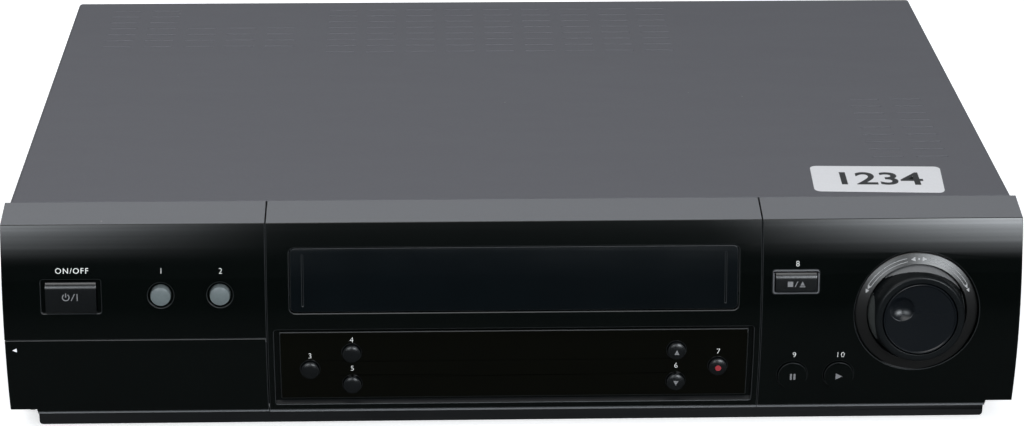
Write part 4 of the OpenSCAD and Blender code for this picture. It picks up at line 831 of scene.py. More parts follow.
FINISHES: dict[str, Finish] = {f.name: f for f in (
    Finish("cover_enamel", (0.118, 0.117, 0.128), 0.07, 0.62, 0.10, grain=(3000, 30), dust=0.012,
           scratches=0.74, specular=0.3),
    Finish("panel_top", (0.140, 0.141, 0.148), 0.06, 0.50, 0.08, grain=(3400, 20), dust=0.01,
           scratches=0.76),
    Finish("gloss_black", (0.0014, 0.0021, 0.0019), 0.10, 0.05, 0.03, grain=(60, 4), dust=0.010,
           dust_colour=(0.10, 0.10, 0.10), scratches=0.72),
    Finish("door_black", (0.0022, 0.0034, 0.0042), 0.10, 0.09, 0.08, grain=(60, 4), dust=0.012,
           dust_colour=(0.10, 0.10, 0.10), scratches=0.70),
    Finish("window_smoke", (0.0008, 0.0009, 0.0002), 0.10, 0.05, 0.05, grain=(40, 3), dust=0.010,
           dust_colour=(0.10, 0.10, 0.09), scratches=0.74),
    Satin("key_satin", (0.0030, 0.0038, 0.0042), 0.10, 0.19, 0.06, grain=(2600, 6), dust=0.01,
          specular=0.85),
    LensFinish("lens_milk", (0.118, 0.139, 0.142), 0.06, 0.22, 0.08, grain=(900, 4), dust=0.01),
    Ink("print_white", (0.78, 0.78, 0.80)),
    Ink("print_grey", (0.62, 0.62, 0.60)),
    Ink("print_soft", (0.34, 0.34, 0.34)),
    Ink("print_dim", (0.15, 0.15, 0.155)),
    Ink("print_red", (0.26, 0.014, 0.022), 0.10, 0.40),
    # Pale satin for the lip under the mouldings' bottom edge: a painted highlight line.
    Satin("lip_painted_highlight", (0.105, 0.108, 0.112), 0.06, 0.40, 0.10),
    Satin("slope_satin", (0.004, 0.0045, 0.005), 0.10, 0.46, specular=0.32),
    # Lighter satin on chamfered edges and button rims: a painted highlight line along them.
    Satin("painted_edge_highlight", (0.020, 0.022, 0.023), 0.15, 0.32, 0.10),
    Satin("rim_satin", (0.075, 0.077, 0.082), 0.08, 0.30, 0.10),
    Finish("scale_satin", (0.064, 0.064, 0.063), 0.05, 0.30, 0.05, grain=(2200, 5), metallic=0.9,
           dust=0.01),
    Satin("knob_black", (0.005, 0.006, 0.0065), 0.10, 0.26, 0.06, grain=(2400, 5), dust=0.01,
          specular=0.22),
    # Pale finish for the crescent on the shuttle ring's upper side: a painted highlight, not the ring's
    # colour.
    Satin("knob_painted_highlight", (0.200, 0.201, 0.203), 0.06, 0.36, grain=(2400, 5), dust=0.01),
    GripFinish("knob_grip", (0.050, 0.055, 0.053), 0.10, 0.42, 0.10, grain=(2400, 10)),
    Satin("dial_navy", (0.0026, 0.0039, 0.0054), 0.08, 0.26, 0.05, dust=0.02),
    Finish("plinth_black", (0.0034, 0.0038, 0.0042), 0.10, 0.38, 0.10, grain=(2400, 10), dust=0.03),
    Finish("foot_rubber", (0.018, 0.018, 0.018), 0.15, 0.80, 0.10, grain=(1800, 30), dust=0.06),
    Finish("screw_black", (0.02, 0.02, 0.021), 0.12, 0.34, 0.10, grain=(1500, 6), metallic=0.9),
    Finish("rear_paint", (0.030, 0.030, 0.032), 0.12, 0.55, 0.12, grain=(2800, 20), dust=0.05,
           scratches=0.60),
    Metal("zinc_plate", (0.55, 0.56, 0.58), 0.10, 0.30, 0.20, grain=(420, 6), scratches=0.55),
    Metal("nickel", (0.66, 0.65, 0.62), 0.05, 0.18, 0.10, grain=(900, 3)),
    Metal("turned_aluminium", (0.78, 0.79, 0.80), 0.04, 0.20, 0.08, grain=(1200, 3)),
    Metal("ground_steel", (0.62, 0.62, 0.64), 0.06, 0.22, 0.10, grain=(1500, 4)),
    Finish("black_moulding", (0.022, 0.022, 0.023), 0.12, 0.48, 0.10, grain=(2200, 20), dust=0.03),
    Finish("black_rubber", (0.015, 0.015, 0.015), 0.12, 0.62, 0.10, grain=(1800, 10)),
    Finish("white_acetal", (0.70, 0.70, 0.66), 0.05, 0.42, 0.10, grain=(1800, 8)),
    Finish("grey_parts", (0.20, 0.20, 0.21), 0.25, 0.45, 0.15, grain=(90, 10)),
    Finish("board_green", (0.035, 0.12, 0.055), 0.35, 0.40, 0.15, grain=(260, 20), dust=0.08),
    Finish("board_brown", (0.26, 0.17, 0.08), 0.25, 0.50, 0.15, grain=(260, 20), dust=0.08),
    Finish("tube_glass", (0.02, 0.035, 0.035), 0.10, 0.08, 0.04, grain=(200, 2)),
    Finish("socket_yellow", (0.72, 0.52, 0.03), 0.06, 0.40, 0.10, grain=(1800, 8)),
    Finish("socket_white", (0.70, 0.70, 0.68), 0.06, 0.40, 0.10, grain=(1800, 8)),
    Finish("socket_red", (0.50, 0.02, 0.02), 0.06, 0.40, 0.10, grain=(1800, 8)),
    Finish("label_paper", (0.78, 0.77, 0.78), 0.03, 0.42, 0.12, grain=(1400, 6), dust=0.03),
    Ink("label_ink", (0.012, 0.012, 0.013), 0.10, 0.40),
)}


class Palette:
    """Builds each finish once, when it is first asked for."""

    def __init__(self) -> None:
        """Makes the shared effects."""
        self.effects = Effects()
        self.made: dict[str, Material] = {}

    def __getitem__(self, name: str) -> Material:
        """Returns the material of a named finish.

        Args:
            name: The finish.

        Returns:
            Its material.
        """
        if name not in self.made:
            self.made[name] = FINISHES[name].build(self.effects)
        return self.made[name]


# Printed marks

MARK_CORNERS = {
    Mark.STOP: ((-1, -1), (1, -1), (1, 1), (-1, 1)),
    Mark.UP: ((-1, -1), (1, -1), (0, 1)),
    Mark.DOWN: ((-1, 1), (0, -1), (1, 1)),
    Mark.LEFT: ((-1, 0), (1, -1), (1, 1)),
    Mark.RIGHT: ((-1, -1), (1, 0), (-1, 1)),
}
"""Corners of the marks with straight sides, in halves of their height."""


@dataclass
class Printer:
    """Prints generic marks and plain numbers on the panel and its buttons.

    Attributes:
        palette: The finishes.
        ink_t: Thickness of the ink.
        weight: Width of a printed line.
    """

    palette: Palette
    ink_t: float = 0.05
    weight: float = 0.42

    def flat(self, points: Sequence[tuple[float, float]]) -> Mesh:
        """Makes a thin plate from its corners, on the plane z = 0.

        Args:
            points: Its corners (x, y).

        Returns:
            The plate's mesh.
        """
        mesh = bmesh.new()
        mesh.faces.new([mesh.verts.new((x, y, 0.0)) for x, y in points])
        return thickened(mesh, (0, 0, self.ink_t))

    def arc(self, radius: float, width: float, start: float, end: float) -> Mesh:
        """Makes a thin curved line between two angles in degrees, measured from +X.

        Args:
            radius: Radius of its middle.
            width: Its width.
            start: Where it starts.
            end: Where it ends.

        Returns:
            The line's mesh.
        """
        mesh = bmesh.new()
        low, high = radius - width / 2, radius + width / 2
        turn = Matrix.Rotation(math.radians(start), 3, "Z")
        ring = [mesh.verts.new(turn @ Vector(p)) for p in ((low, 0, 0), (high, 0, 0),
                                                           (high, 0, self.ink_t), (low, 0, self.ink_t))]
        face = mesh.faces.new(ring)
        bmesh.ops.spin(mesh, geom=[face, *face.edges, *face.verts], axis=(0, 0, 1), cent=(0, 0, 0),
                       steps=max(6, int(abs(end - start) / 3)), angle=math.radians(end - start))
        bmesh.ops.recalc_face_normals(mesh, faces=mesh.faces)
        return mesh

    def mark(self, kind: Mark, size: float) -> Mesh:
        """Makes a mark about the origin, on the plane z = 0.

        Args:
            kind: Which mark.
            size: Its height.

        Returns:
            The mark's mesh.
        """
        h = size / 2
        w = self.weight / 2
        if kind in MARK_CORNERS:
            return self.flat([(h * x, h * y) for x, y in MARK_CORNERS[kind]])
        if kind is Mark.BAR:
            return self.flat([(-w, -h), (w, -h), (w, h), (-w, h)])
        if kind is Mark.SLASH:
            return self.flat([(-h / 2 - w, -h), (-h / 2 + w, -h), (h / 2 + w, h), (h / 2 - w, h)])
        if kind is Mark.PAUSE:
            return joined(self.flat([(s * 0.55 * h - 0.3 * h, -h), (s * 0.55 * h + 0.3 * h, -h),
                                     (s * 0.55 * h + 0.3 * h, h), (s * 0.55 * h - 0.3 * h, h)])
                          for s in (-1, 1))
        if kind is Mark.POWER:
            stroke = self.flat([(-w, 0), (w, 0), (w, h), (-w, h)])
            return joined((self.arc(0.78 * h, self.weight, 125, 415), stroke))
        mesh = bmesh.new()
        bmesh.ops.create_cone(mesh, cap_ends=True, segments=32, radius1=h, radius2=h, depth=self.ink_t,
                              matrix=Matrix.Translation((0, 0, self.ink_t / 2)))
        return mesh

    def number(self, text: str, height: float, bold: float = 0.0, spacing: float = 1.0) -> Mesh:
        """Makes plain digits about the origin, on the plane z = 0.

        Args:
            text: The digits.
            height: Their height.
            bold: How far each stroke is widened.
            spacing: Share of the usual distance between two of them.

        Returns:
            The digits' mesh.
        """
        curve = bpy.data.curves.new("digits", "FONT")
        curve.body = text
        curve.size = height / 0.7
        curve.align_x = "CENTER"
        curve.align_y = "CENTER"
        curve.extrude = self.ink_t / 2
        curve.offset = bold
        curve.space_character = spacing
        curve.resolution_u = 4
        holder = bpy.data.objects.new("digits", curve)
        bpy.context.scene.collection.objects.link(holder)
        graph = bpy.context.evaluated_depsgraph_get()
        data = bpy.data.meshes.new_from_object(holder.evaluated_get(graph))
        mesh = bmesh.new()
        mesh.from_mesh(data)
        bpy.data.meshes.remove(data)
        bpy.data.objects.remove(holder)
        bpy.data.curves.remove(curve)
        bmesh.ops.remove_doubles(mesh, verts=mesh.verts, dist=1e-4)
        bmesh.ops.translate(mesh, verts=mesh.verts, vec=(0, 0, self.ink_t / 2))
        return mesh

    def put(self, name: str, marks: Iterable[tuple[Mesh, Matrix]], ink: str = "print_white",
            body: str = ROOT, slot: str = "scale_grey") -> None:
        """Places printed marks and finishes them as one piece.

        Args:
            name: The piece's name.
            marks: Each mark's mesh and its place.
            ink: The finish of the ink.
            body: The body that the marks ride on.
            slot: Not used.
        """
        placed = []
        for mesh, place in marks:
            mesh.transform(place)
            placed.append(mesh)
        finish_piece(name, joined(placed), [self.palette[ink]], body)


# Front


@dataclass
class FrontPanel:
    """The three mouldings of the front, the cassette door, the socket flap and the window.

    Attributes:
        palette: The finishes.
        half_w: Half the width across the front.
        centre_half: Half the width of the middle moulding.
        seam: Gap between two mouldings.
        low: Height of the bottom edge.
        top_y: Depth of the flat top.
        top_z: Height of the flat top's back edge.
        wall: Wall of the mouldings.
        round_w: Rounding of the moulded edges.
        edge_w: Chamfer of the bottom edge.
        side_wall: Wall at the ends of a moulding.
        bay_floor: Height of the floor of the socket recess.
        step_h: Height of the step at each end of the bottom edge.
        step_w: Its width.
        slot_w: Width of the cassette opening.
        slot_low: Height of its bottom.
        slot_top: Height of its top.
        slot_r: Radius of its corners.
        door_gap: Gap round the door.
        door_sunk: How far the door lies behind the face.
        door_t: Thickness of the door.
        flap_top: Height of the flap's top edge.
        flap_t: Thickness of the flap.
        bay_back: Where the recess ends.
        flap_axis: The flap's axis (y, z).
        flap_sweep: Radius that the flap's edge sweeps.
        window: Width, height and middle height of the window.
        border: Width, bottom and top of the sunk border round it.
        border_d: Depth of the border.
        border_slope: Slope of its lower side, in degrees.
        window_t: Thickness of the window.
        front: A place well in front, where cutters start.
        keys: Middle (x, z), width and height of each flat button.
        lamps: Middles of the lit buttons.
        lamp_r: Their radius.
        small: Middles of the small buttons in the window.
        small_r: Their radius.
        play: Middles of the pause and play buttons.
        play_r: Their radius.
        key_gap: Gap round a button.
        knob: Middle (x, z) of the knob.
        well_r: Radius of the recess for the knob.
        well_d: Its depth.
        sockets: Middles of the front phono sockets.
        socket_z: Their height.
        din_x: Middle of the round video socket.
    """

    palette: Palette
    half_w: float = 217.5
    centre_half: float = 105.8
    seam: float = 0.3
    low: float = 10.4
    top_y: float = 17.2
    top_z: float = 99.3
    wall: float = 3.0
    round_w: float = 0.3
    edge_w: float = 0.5
    side_wall: float = 2.5
    bay_floor: float = 12.4
    step_h: float = 1.7
    step_w: float = 11.5
    slot_w: float = 192.0
    slot_low: float = 57.6
    slot_top: float = 85.8
    slot_r: float = 2.5
    door_gap: float = 0.4
    door_sunk: float = 0.5
    door_t: float = 1.8
    flap_top: float = 46.4
    flap_t: float = 2.2
    bay_back: float = 14.7
    flap_axis: tuple[float, float] = (-3.496, 13.3)
    flap_sweep: float = 4.57
    window: tuple[float, float, float] = (201.2, 32.4, 32.7)
    border: tuple[float, float, float] = (205.8, 13.6, 50.2)
    border_d: float = 2.0
    border_slope: float = 36.0
    window_t: float = 1.4
    front: float = -40.0
    keys: dict[str, tuple[float, float, float, float]] = field(default_factory=lambda: {
        "standby": (-188.4, 65.9, 21.6, 12.7), "stop": (120.4, 69.9, 17.7, 8.4)})
    lamps: tuple[tuple[float, float], ...] = ((-150.4, 66.2), (-125.3, 66.2))
    lamp_r: float = 4.3
    small: tuple[tuple[float, float], ...] = ((-87.8, 31.3), (-69.8, 39.1), (-69.8, 23.9),
                                              (69.8, 39.1), (69.8, 23.9), (87.8, 31.3))
    small_r: float = 3.8
    play: tuple[tuple[float, float], ...] = ((120.3, 26.6), (140.4, 26.6))
    play_r: float = 6.3
    key_gap: float = 0.3
    knob: tuple[float, float] = (172.8, 55.8)
    well_r: float = 27.0
    well_d: float = 3.4
    sockets: tuple[float, ...] = (-196.0, -178.0, -160.0)
    socket_z: float = 30.0
    din_x: float = -136.0

    def shell(self, x0: float, x1: float, hollow_z0: float, steps: int) -> Mesh:
        """Makes one moulding with its hollow back and a number of flat strips in its face.

        Args:
            x0: Its left end.
            x1: Its right end.
            hollow_z0: Height of the hollow's floor.
            steps: Number of strips in its face.

        Returns:
            The moulding's mesh.
        """
        body = drum_bar(x0, x1, 0.0, self.low, DRUM.edge_z, self.top_y, ((self.top_y, self.top_z),), steps)
        hollow = drum_bar(x0 + self.side_wall, x1 - self.side_wall, self.wall, hollow_z0,
                          DRUM.edge_z - self.wall, self.top_y + 1, (), 24)
        return cut(body, hollow)

    def before_face(self, tool: Mesh, depth: float) -> Mesh:
        """Keeps only what of a tool lies in front of a surface at a depth behind the face."""
        behind = drum_bar(-self.half_w - 5, self.half_w + 5, depth, -20.0, 110.0, 60.0, (), 96)
        return cut(tool, behind)

    def flat_key_cut(self, x: float, z: float, w: float, h: float, wide: float, tall: float
                     ) -> list[Mesh]:
        """Makes the sunk border, wider and taller than the button, and the passage of a flat button."""
        border = self.before_face(round_bar(x, z, w + wide, h + tall, 1.0, self.front, 0.0), 1.0)
        return [border, round_bar(x, z, w + 2 * self.key_gap, h + 2 * self.key_gap, 0.8, self.front, 12.0)]

    def round_cut(self, x: float, z: float, r: float) -> Mesh:
        """Makes the passage of a round button."""
        return rod(Axis.Y, (x, self.front, z), 52.0, r, segments=64)

    def pick(self, face: bmesh.types.BMFace) -> int:
        """Returns the number of a face's finish.

        Args:
            face: A face of a moulding.

        Returns:
            1 for the flat top, 2 for the bottom lip's painted highlight, 3 for an edge's painted highlight
            line, 4 for the slope and 0 elsewhere.
        """
        middle = face.calc_center_median()
        front = middle.y < DRUM.y(self.low) + self.edge_w + 1.5
        # The lip under the bottom edge gets the pale finish: a painted highlight line.
        if front and middle.z < self.low + 0.1:
            return 2
        above = DRUM.edge_z + middle.y * (self.top_z - DRUM.edge_z) / self.top_y
        if face.normal.z > 0.9 and middle.z > above - 0.25 and middle.y > -0.1:
            return 1
        if 0.5 < face.normal.z < 0.9 and self.border[1] < middle.z < self.border[1] + 3.0:
            return 4
        return face.material_index

    def finish(self, name: str, mesh: Mesh, loose: Sequence[Mesh] = ()) -> None:
        """Softens a moulding's edges, gives it its finishes and joins what hangs loose in it.

        Args:
            name: The piece's name.
            mesh: The moulding.
            loose: Meshes that join it as they are.
        """
        soften(mesh, 0.4, 3, where=lambda point: point.z > DRUM.edge_z - 1.0)
        soften(mesh, self.edge_w, 1, where=lambda point: point.z < self.low + 0.3 and point.y < 0.0)
        # The face's edge chamfers get the pale edge finish: a painted highlight line.
        soften(mesh, self.round_w, 1, where=self.on_front, mark=3)
        finish_piece(name, joined([mesh, *loose]), self.finishes(), ROOT,
                     [name.replace("panel", "fascia")], self.pick)

    def on_front(self, point: Vector) -> bool:
        """Says whether a point lies on the face, below its top edge."""
        return point.z < DRUM.edge_z - 1.0 and abs(point.y - DRUM.y(point.z)) < 0.3

    def finishes(self) -> list[Material]:
        """Returns the finishes of a moulding, in the order of their numbers."""
        return [self.palette[name] for name in ("gloss_black", "panel_top", "lip_painted_highlight", "painted_edge_highlight",
                                                  "slope_satin")]

    def lip(self, x0: float, x1: float, height: float) -> Mesh:
        """Makes the pale lip under a moulding's bottom edge; its pale colour is a painted highlight line.

        Args:
            x0: Its left end.
            x1: Its right end.
            height: How far it reaches down.

        Returns:
            The lip's mesh.
        """
        inner = self.half_w - self.step_w - 0.2
        front = DRUM.y(self.low) + self.edge_w
        return block(max(x0, -inner), min(x1, inner), front, front + 1.4, self.low - height, self.low + 0.6)

    def end_step(self, side: int) -> Mesh:
        """Makes the step at one end of the bottom edge."""
        inner, outer = side * (self.half_w - self.step_w), side * (self.half_w + 1)
        return block(min(inner, outer), max(inner, outer), self.front, 40.0, 0.0, self.low + self.step_h)

    def build_left(self) -> None:
        """Builds the left moulding with the recess for the front sockets."""
        x0, x1 = -self.half_w, -self.centre_half - self.seam / 2
        bay = (x0 + self.side_wall, -self.centre_half - self.seam - self.side_wall)
        body = self.shell(x0, x1, self.flap_top + 2.0, 35)
        axis_y, axis_z = self.flap_axis
        tools = [block(bay[0], bay[1], self.front, self.bay_back, self.bay_floor, self.flap_top + 0.15),
                 self.before_face(block(x0 - 1, 0, self.front, self.top_y, 0, self.flap_top + 0.15),
                                  self.flap_t + 0.3),
                 rod(Axis.X, (x0 - 1, axis_y, axis_z), -x0 + 1, self.flap_sweep),
                 block(x0 - 1, 0, self.front, axis_y + self.flap_sweep, 0, axis_z),
                 self.end_step(-1)]
        tools += self.flat_key_cut(*self.keys["standby"], 3.8, 2.0)
        for x, z in self.lamps:
            tools.append(self.round_cut(x, z, self.lamp_r + self.key_gap))
            tools.append(self.before_face(self.round_cut(x, z, self.lamp_r + 1.2), 0.8))
        tools += [rod(Axis.Y, (x, 0.0, self.socket_z), 20.0, r) for x, r in
                  (*((x, 5.6) for x in self.sockets), (self.din_x, 5.7))]
        body = cut(body, *tools)
        ears = [self.flap_ear(x) for x in (x0 + 13.1, -self.centre_half - self.seam - 13)]
        self.finish("panel_left", body, ears)

    def flap_ear(self, x: float) -> Mesh:
        """Makes a fixed ear that holds one of the flap's pins.

        Args:
            x: Its middle across.

        Returns:
            The ear's mesh.
        """
        axis_y, axis_z = self.flap_axis
        ear = rod(Axis.X, (x - 2, axis_y, axis_z), 4, 1.6, segments=32)
        arm = block(x - 2, x + 2, axis_y, self.bay_back + 0.5, axis_z, axis_z + 1.6)
        foot = block(x - 2, x + 2, axis_y + self.flap_sweep, self.bay_back + 0.5, self.bay_floor - 0.4,
                     axis_z + 1.5)
        whole = fused(ear, arm, foot)
        return cut(whole, rod(Axis.X, (x - 3, axis_y, axis_z), 6, 0.95, segments=32))

    def build_centre(self) -> None:
        """Builds the middle moulding with the openings for the cassette and the window."""
        x1 = self.centre_half - self.seam / 2
        body = self.shell(-x1, x1, self.bay_floor, 34)
        mid = (self.slot_low + self.slot_top) / 2
        border_w, border_low, border_top = self.border
        win_w, win_h, win_z = self.window
        slot_h = self.slot_top - self.slot_low
        tools = [round_bar(0, mid, self.slot_w, slot_h, self.slot_r, self.front, 30.0),
                 self.before_face(round_bar(0, (border_low + border_top) / 2, border_w,
                                            border_top - border_low, 1.2, self.front, 0.0), self.border_d),
                 block(2.5 - win_w / 2, win_w / 2 - 2.5, self.front, 0.0, win_z - win_h / 2 + 2.5,
                       win_z + win_h / 2 - 2.5)]
        slope = block(-border_w, border_w, -5.0, 5.0, -6.0, 0.0)
        slope.transform(Matrix.Translation((0, DRUM.y(border_low), border_low + 0.1))
                        @ Matrix.Rotation(math.radians(self.border_slope), 4, "X"))
        tools[1] = cut(tools[1], slope)
        # The tongue closes the seam's lower end, where the floor would show through.
        tongue = block(-x1 - 0.35, -x1 + 0.6, DRUM.y(self.low) + 1.0, 1.0, self.low - 0.7, self.low + 3.0)
        self.finish("panel_centre", cut(body, *tools), [tongue, self.lip(-x1, x1, 0.8)])

    def build_right(self) -> None:
        """Builds the right moulding with the round recess for the knob."""
        x0 = self.centre_half + self.seam / 2
        body = cut(self.shell(x0, self.half_w, self.bay_floor, 29), self.end_step(1))
        well = DRUM.place(*self.knob)
        floor = rod(Axis.Z, (0, 0, -self.well_d - 3), self.well_d + 3, self.well_r + 2, segments=128)
        floor.transform(well)
        trim = drum_bar(x0 - 5, self.half_w + 5, 0.5, -20.0, 110.0, 60.0, (), 96)
        floor = combined(floor, [trim], "INTERSECT")
        hole = rod(Axis.Z, (0, 0, -self.well_d), 2 * self.well_d + 5, self.well_r, segments=128)
        hole.transform(well)
        bore = rod(Axis.Z, (0, 0, -12), 14, 18.6, segments=64)
        bore.transform(well)
        tools = [hole, bore, *self.flat_key_cut(*self.keys["stop"], 2.3, 1.9)]
        tools += [self.round_cut(x, z, self.play_r + self.key_gap) for x, z in self.play]
        self.finish("panel_right", cut(fused(body, floor), *tools), [self.lip(x0, self.half_w, 0.8)])

    def build_door(self) -> None:
        """Builds the cassette door with its two upright grooves and hinge pins."""
        half = self.slot_w / 2 - self.door_gap
        mid = (self.slot_low + self.slot_top) / 2
        height = self.slot_top - self.slot_low - 2 * self.door_gap
        plate = drum_bar(-half, half, self.door_sunk, mid - height / 2, mid + height / 2, 8.0, (), 12)
        inner = drum_bar(-half - 1, half + 1, self.door_sunk + self.door_t, 40.0, 100.0, 20.0, (), 64)
        plate = cut(plate, inner)
        frame = round_bar(0, mid, 2 * half, height, self.slot_r - 0.2, -30.0, 20.0)
        plate = combined(plate, [frame], "INTERSECT")
        axis_z = self.slot_top - self.door_gap - self.door_t / 2
        axis_y = DRUM.y(axis_z) + self.door_sunk + self.door_t / 2 + 0.2
        tools = []
        for side in (-1, 1):
            groove = round_bar(side * 90.3, mid, 0.5, height - 5.4, 0.2, -30.0, 10.0, 2)
            tools.append(self.before_face(groove, self.door_sunk + 0.35))
        # The door's chamfers get the pale edge finish: a painted highlight line.
        plate = soften(cut(plate, *tools), 0.25, 1, mark=1)
        pins = [rod(Axis.X, (side * (half - 4.0) - 6.0 * (side < 0), axis_y, axis_z), 6.0, 0.8,
                    segments=24) for side in (-1, 1)]
        lugs = [rod(Axis.X, (side * (half - 4.0) - 1.5, axis_y, axis_z), 3.0, 0.9, segments=24)
                for side in (-1, 1)]
        finish_piece("door_leaf", joined([plate, *pins, *lugs]),
                     [self.palette["door_black"], self.palette["painted_edge_highlight"]],
                     "cassette_door", ["cassette_door"])

    def build_flap(self) -> None:
        """Builds the flap over the front sockets."""
        x0, x1 = -self.half_w + 0.1, -self.centre_half - self.seam
        leaf = drum_bar(x0, x1, 0.0, self.low, self.flap_top, 6.0, (), 16)
        inner = drum_bar(x0 - 1, x1 + 1, self.flap_t, 0.0, 60.0, 30.0, (), 64)
        axis_y, axis_z = self.flap_axis
        tools = [inner, self.end_step(-1)]
        ears = (x0 + 13, x1 - 13)
        tools += [rod(Axis.X, (x - 2.5, axis_y, axis_z), 5.0, 1.9, segments=32) for x in ears]
        leaf = soften(cut(leaf, *tools), self.edge_w, 1, where=lambda point: point.z < self.low + 0.3)
        # The flap's chamfers get the pale edge finish: a painted highlight line.
        leaf = soften(leaf, self.round_w, 1, mark=3)
        lugs: list[Mesh] = []
        for x in ears:
            lugs += [rod(Axis.X, (x + s * 3.5 - 1, axis_y, axis_z), 2.0, 1.6, segments=32)
                     for s in (-1, 1)]
            lugs += [block(x + s * 3.5 - 1, x + s * 3.5 + 1, axis_y - 2.2, axis_y, axis_z - 1.5,
                           axis_z + 1.5) for s in (-1, 1)]
            lugs.append(rod(Axis.X, (x - 3, axis_y, axis_z), 6.0, 0.9, segments=24))
        lugs.append(self.lip(x0, x1, 0.6))
        finish_piece("flap_leaf", joined([leaf, *lugs]), self.finishes(), "av_flap",
                     ["av_flap"], self.pick)

    def build_rim(self) -> None:
        """Builds the raised rim round the stop button."""
        x, z, w, h = self.keys["stop"]
        outer = round_bar(x, z, w + 2.3, h + 2.0, 1.2, self.front, 0.0)
        inner = round_bar(x, z, w + 0.9, h + 0.9, 0.8, self.front - 1, 1.0)
        ring = cut(outer, inner)
        behind = drum_bar(0.0, 200.0, 1.0, 40.0, 96.0, 60.0, (), 64)
        before = drum_bar(0.0, 200.0, -0.35, 40.0, 96.0, 60.0, (), 64)
        ring = combined(cut(ring, behind), [before], "INTERSECT")
        finish_piece("stop_rim", soften(ring, 0.2, 2), [self.palette["rim_satin"]])

    def build_window(self) -> None:
        """Builds the smoked window with a round hole for each small button."""
        width, height, mid = self.window
        depth = self.border_d - self.window_t
        plate = drum_bar(-width / 2, width / 2, depth, mid - height / 2, mid + height / 2, 8.0, (), 14)
        inner = drum_bar(-width / 2 - 1, width / 2 + 1, self.border_d, 5.0, 60.0, 30.0, (), 64)
        tools = [inner] + [self.round_cut(x, z, self.small_r + self.key_gap) for x, z in self.small]
        # The window's chamfers get the pale edge finish: a painted highlight line.
        plate = soften(cut(plate, *tools), 0.3, 1, mark=1)
        finish_piece("window_plate", plate, [self.palette["window_smoke"], self.palette["painted_edge_highlight"]],
                     ROOT, ["display_window"])

    def build(self) -> None:
        """Builds every piece of the front."""
        self.build_left()
        self.build_centre()
        self.build_right()
        self.build_door()
        self.build_flap()
        self.build_window()
        self.build_rim()


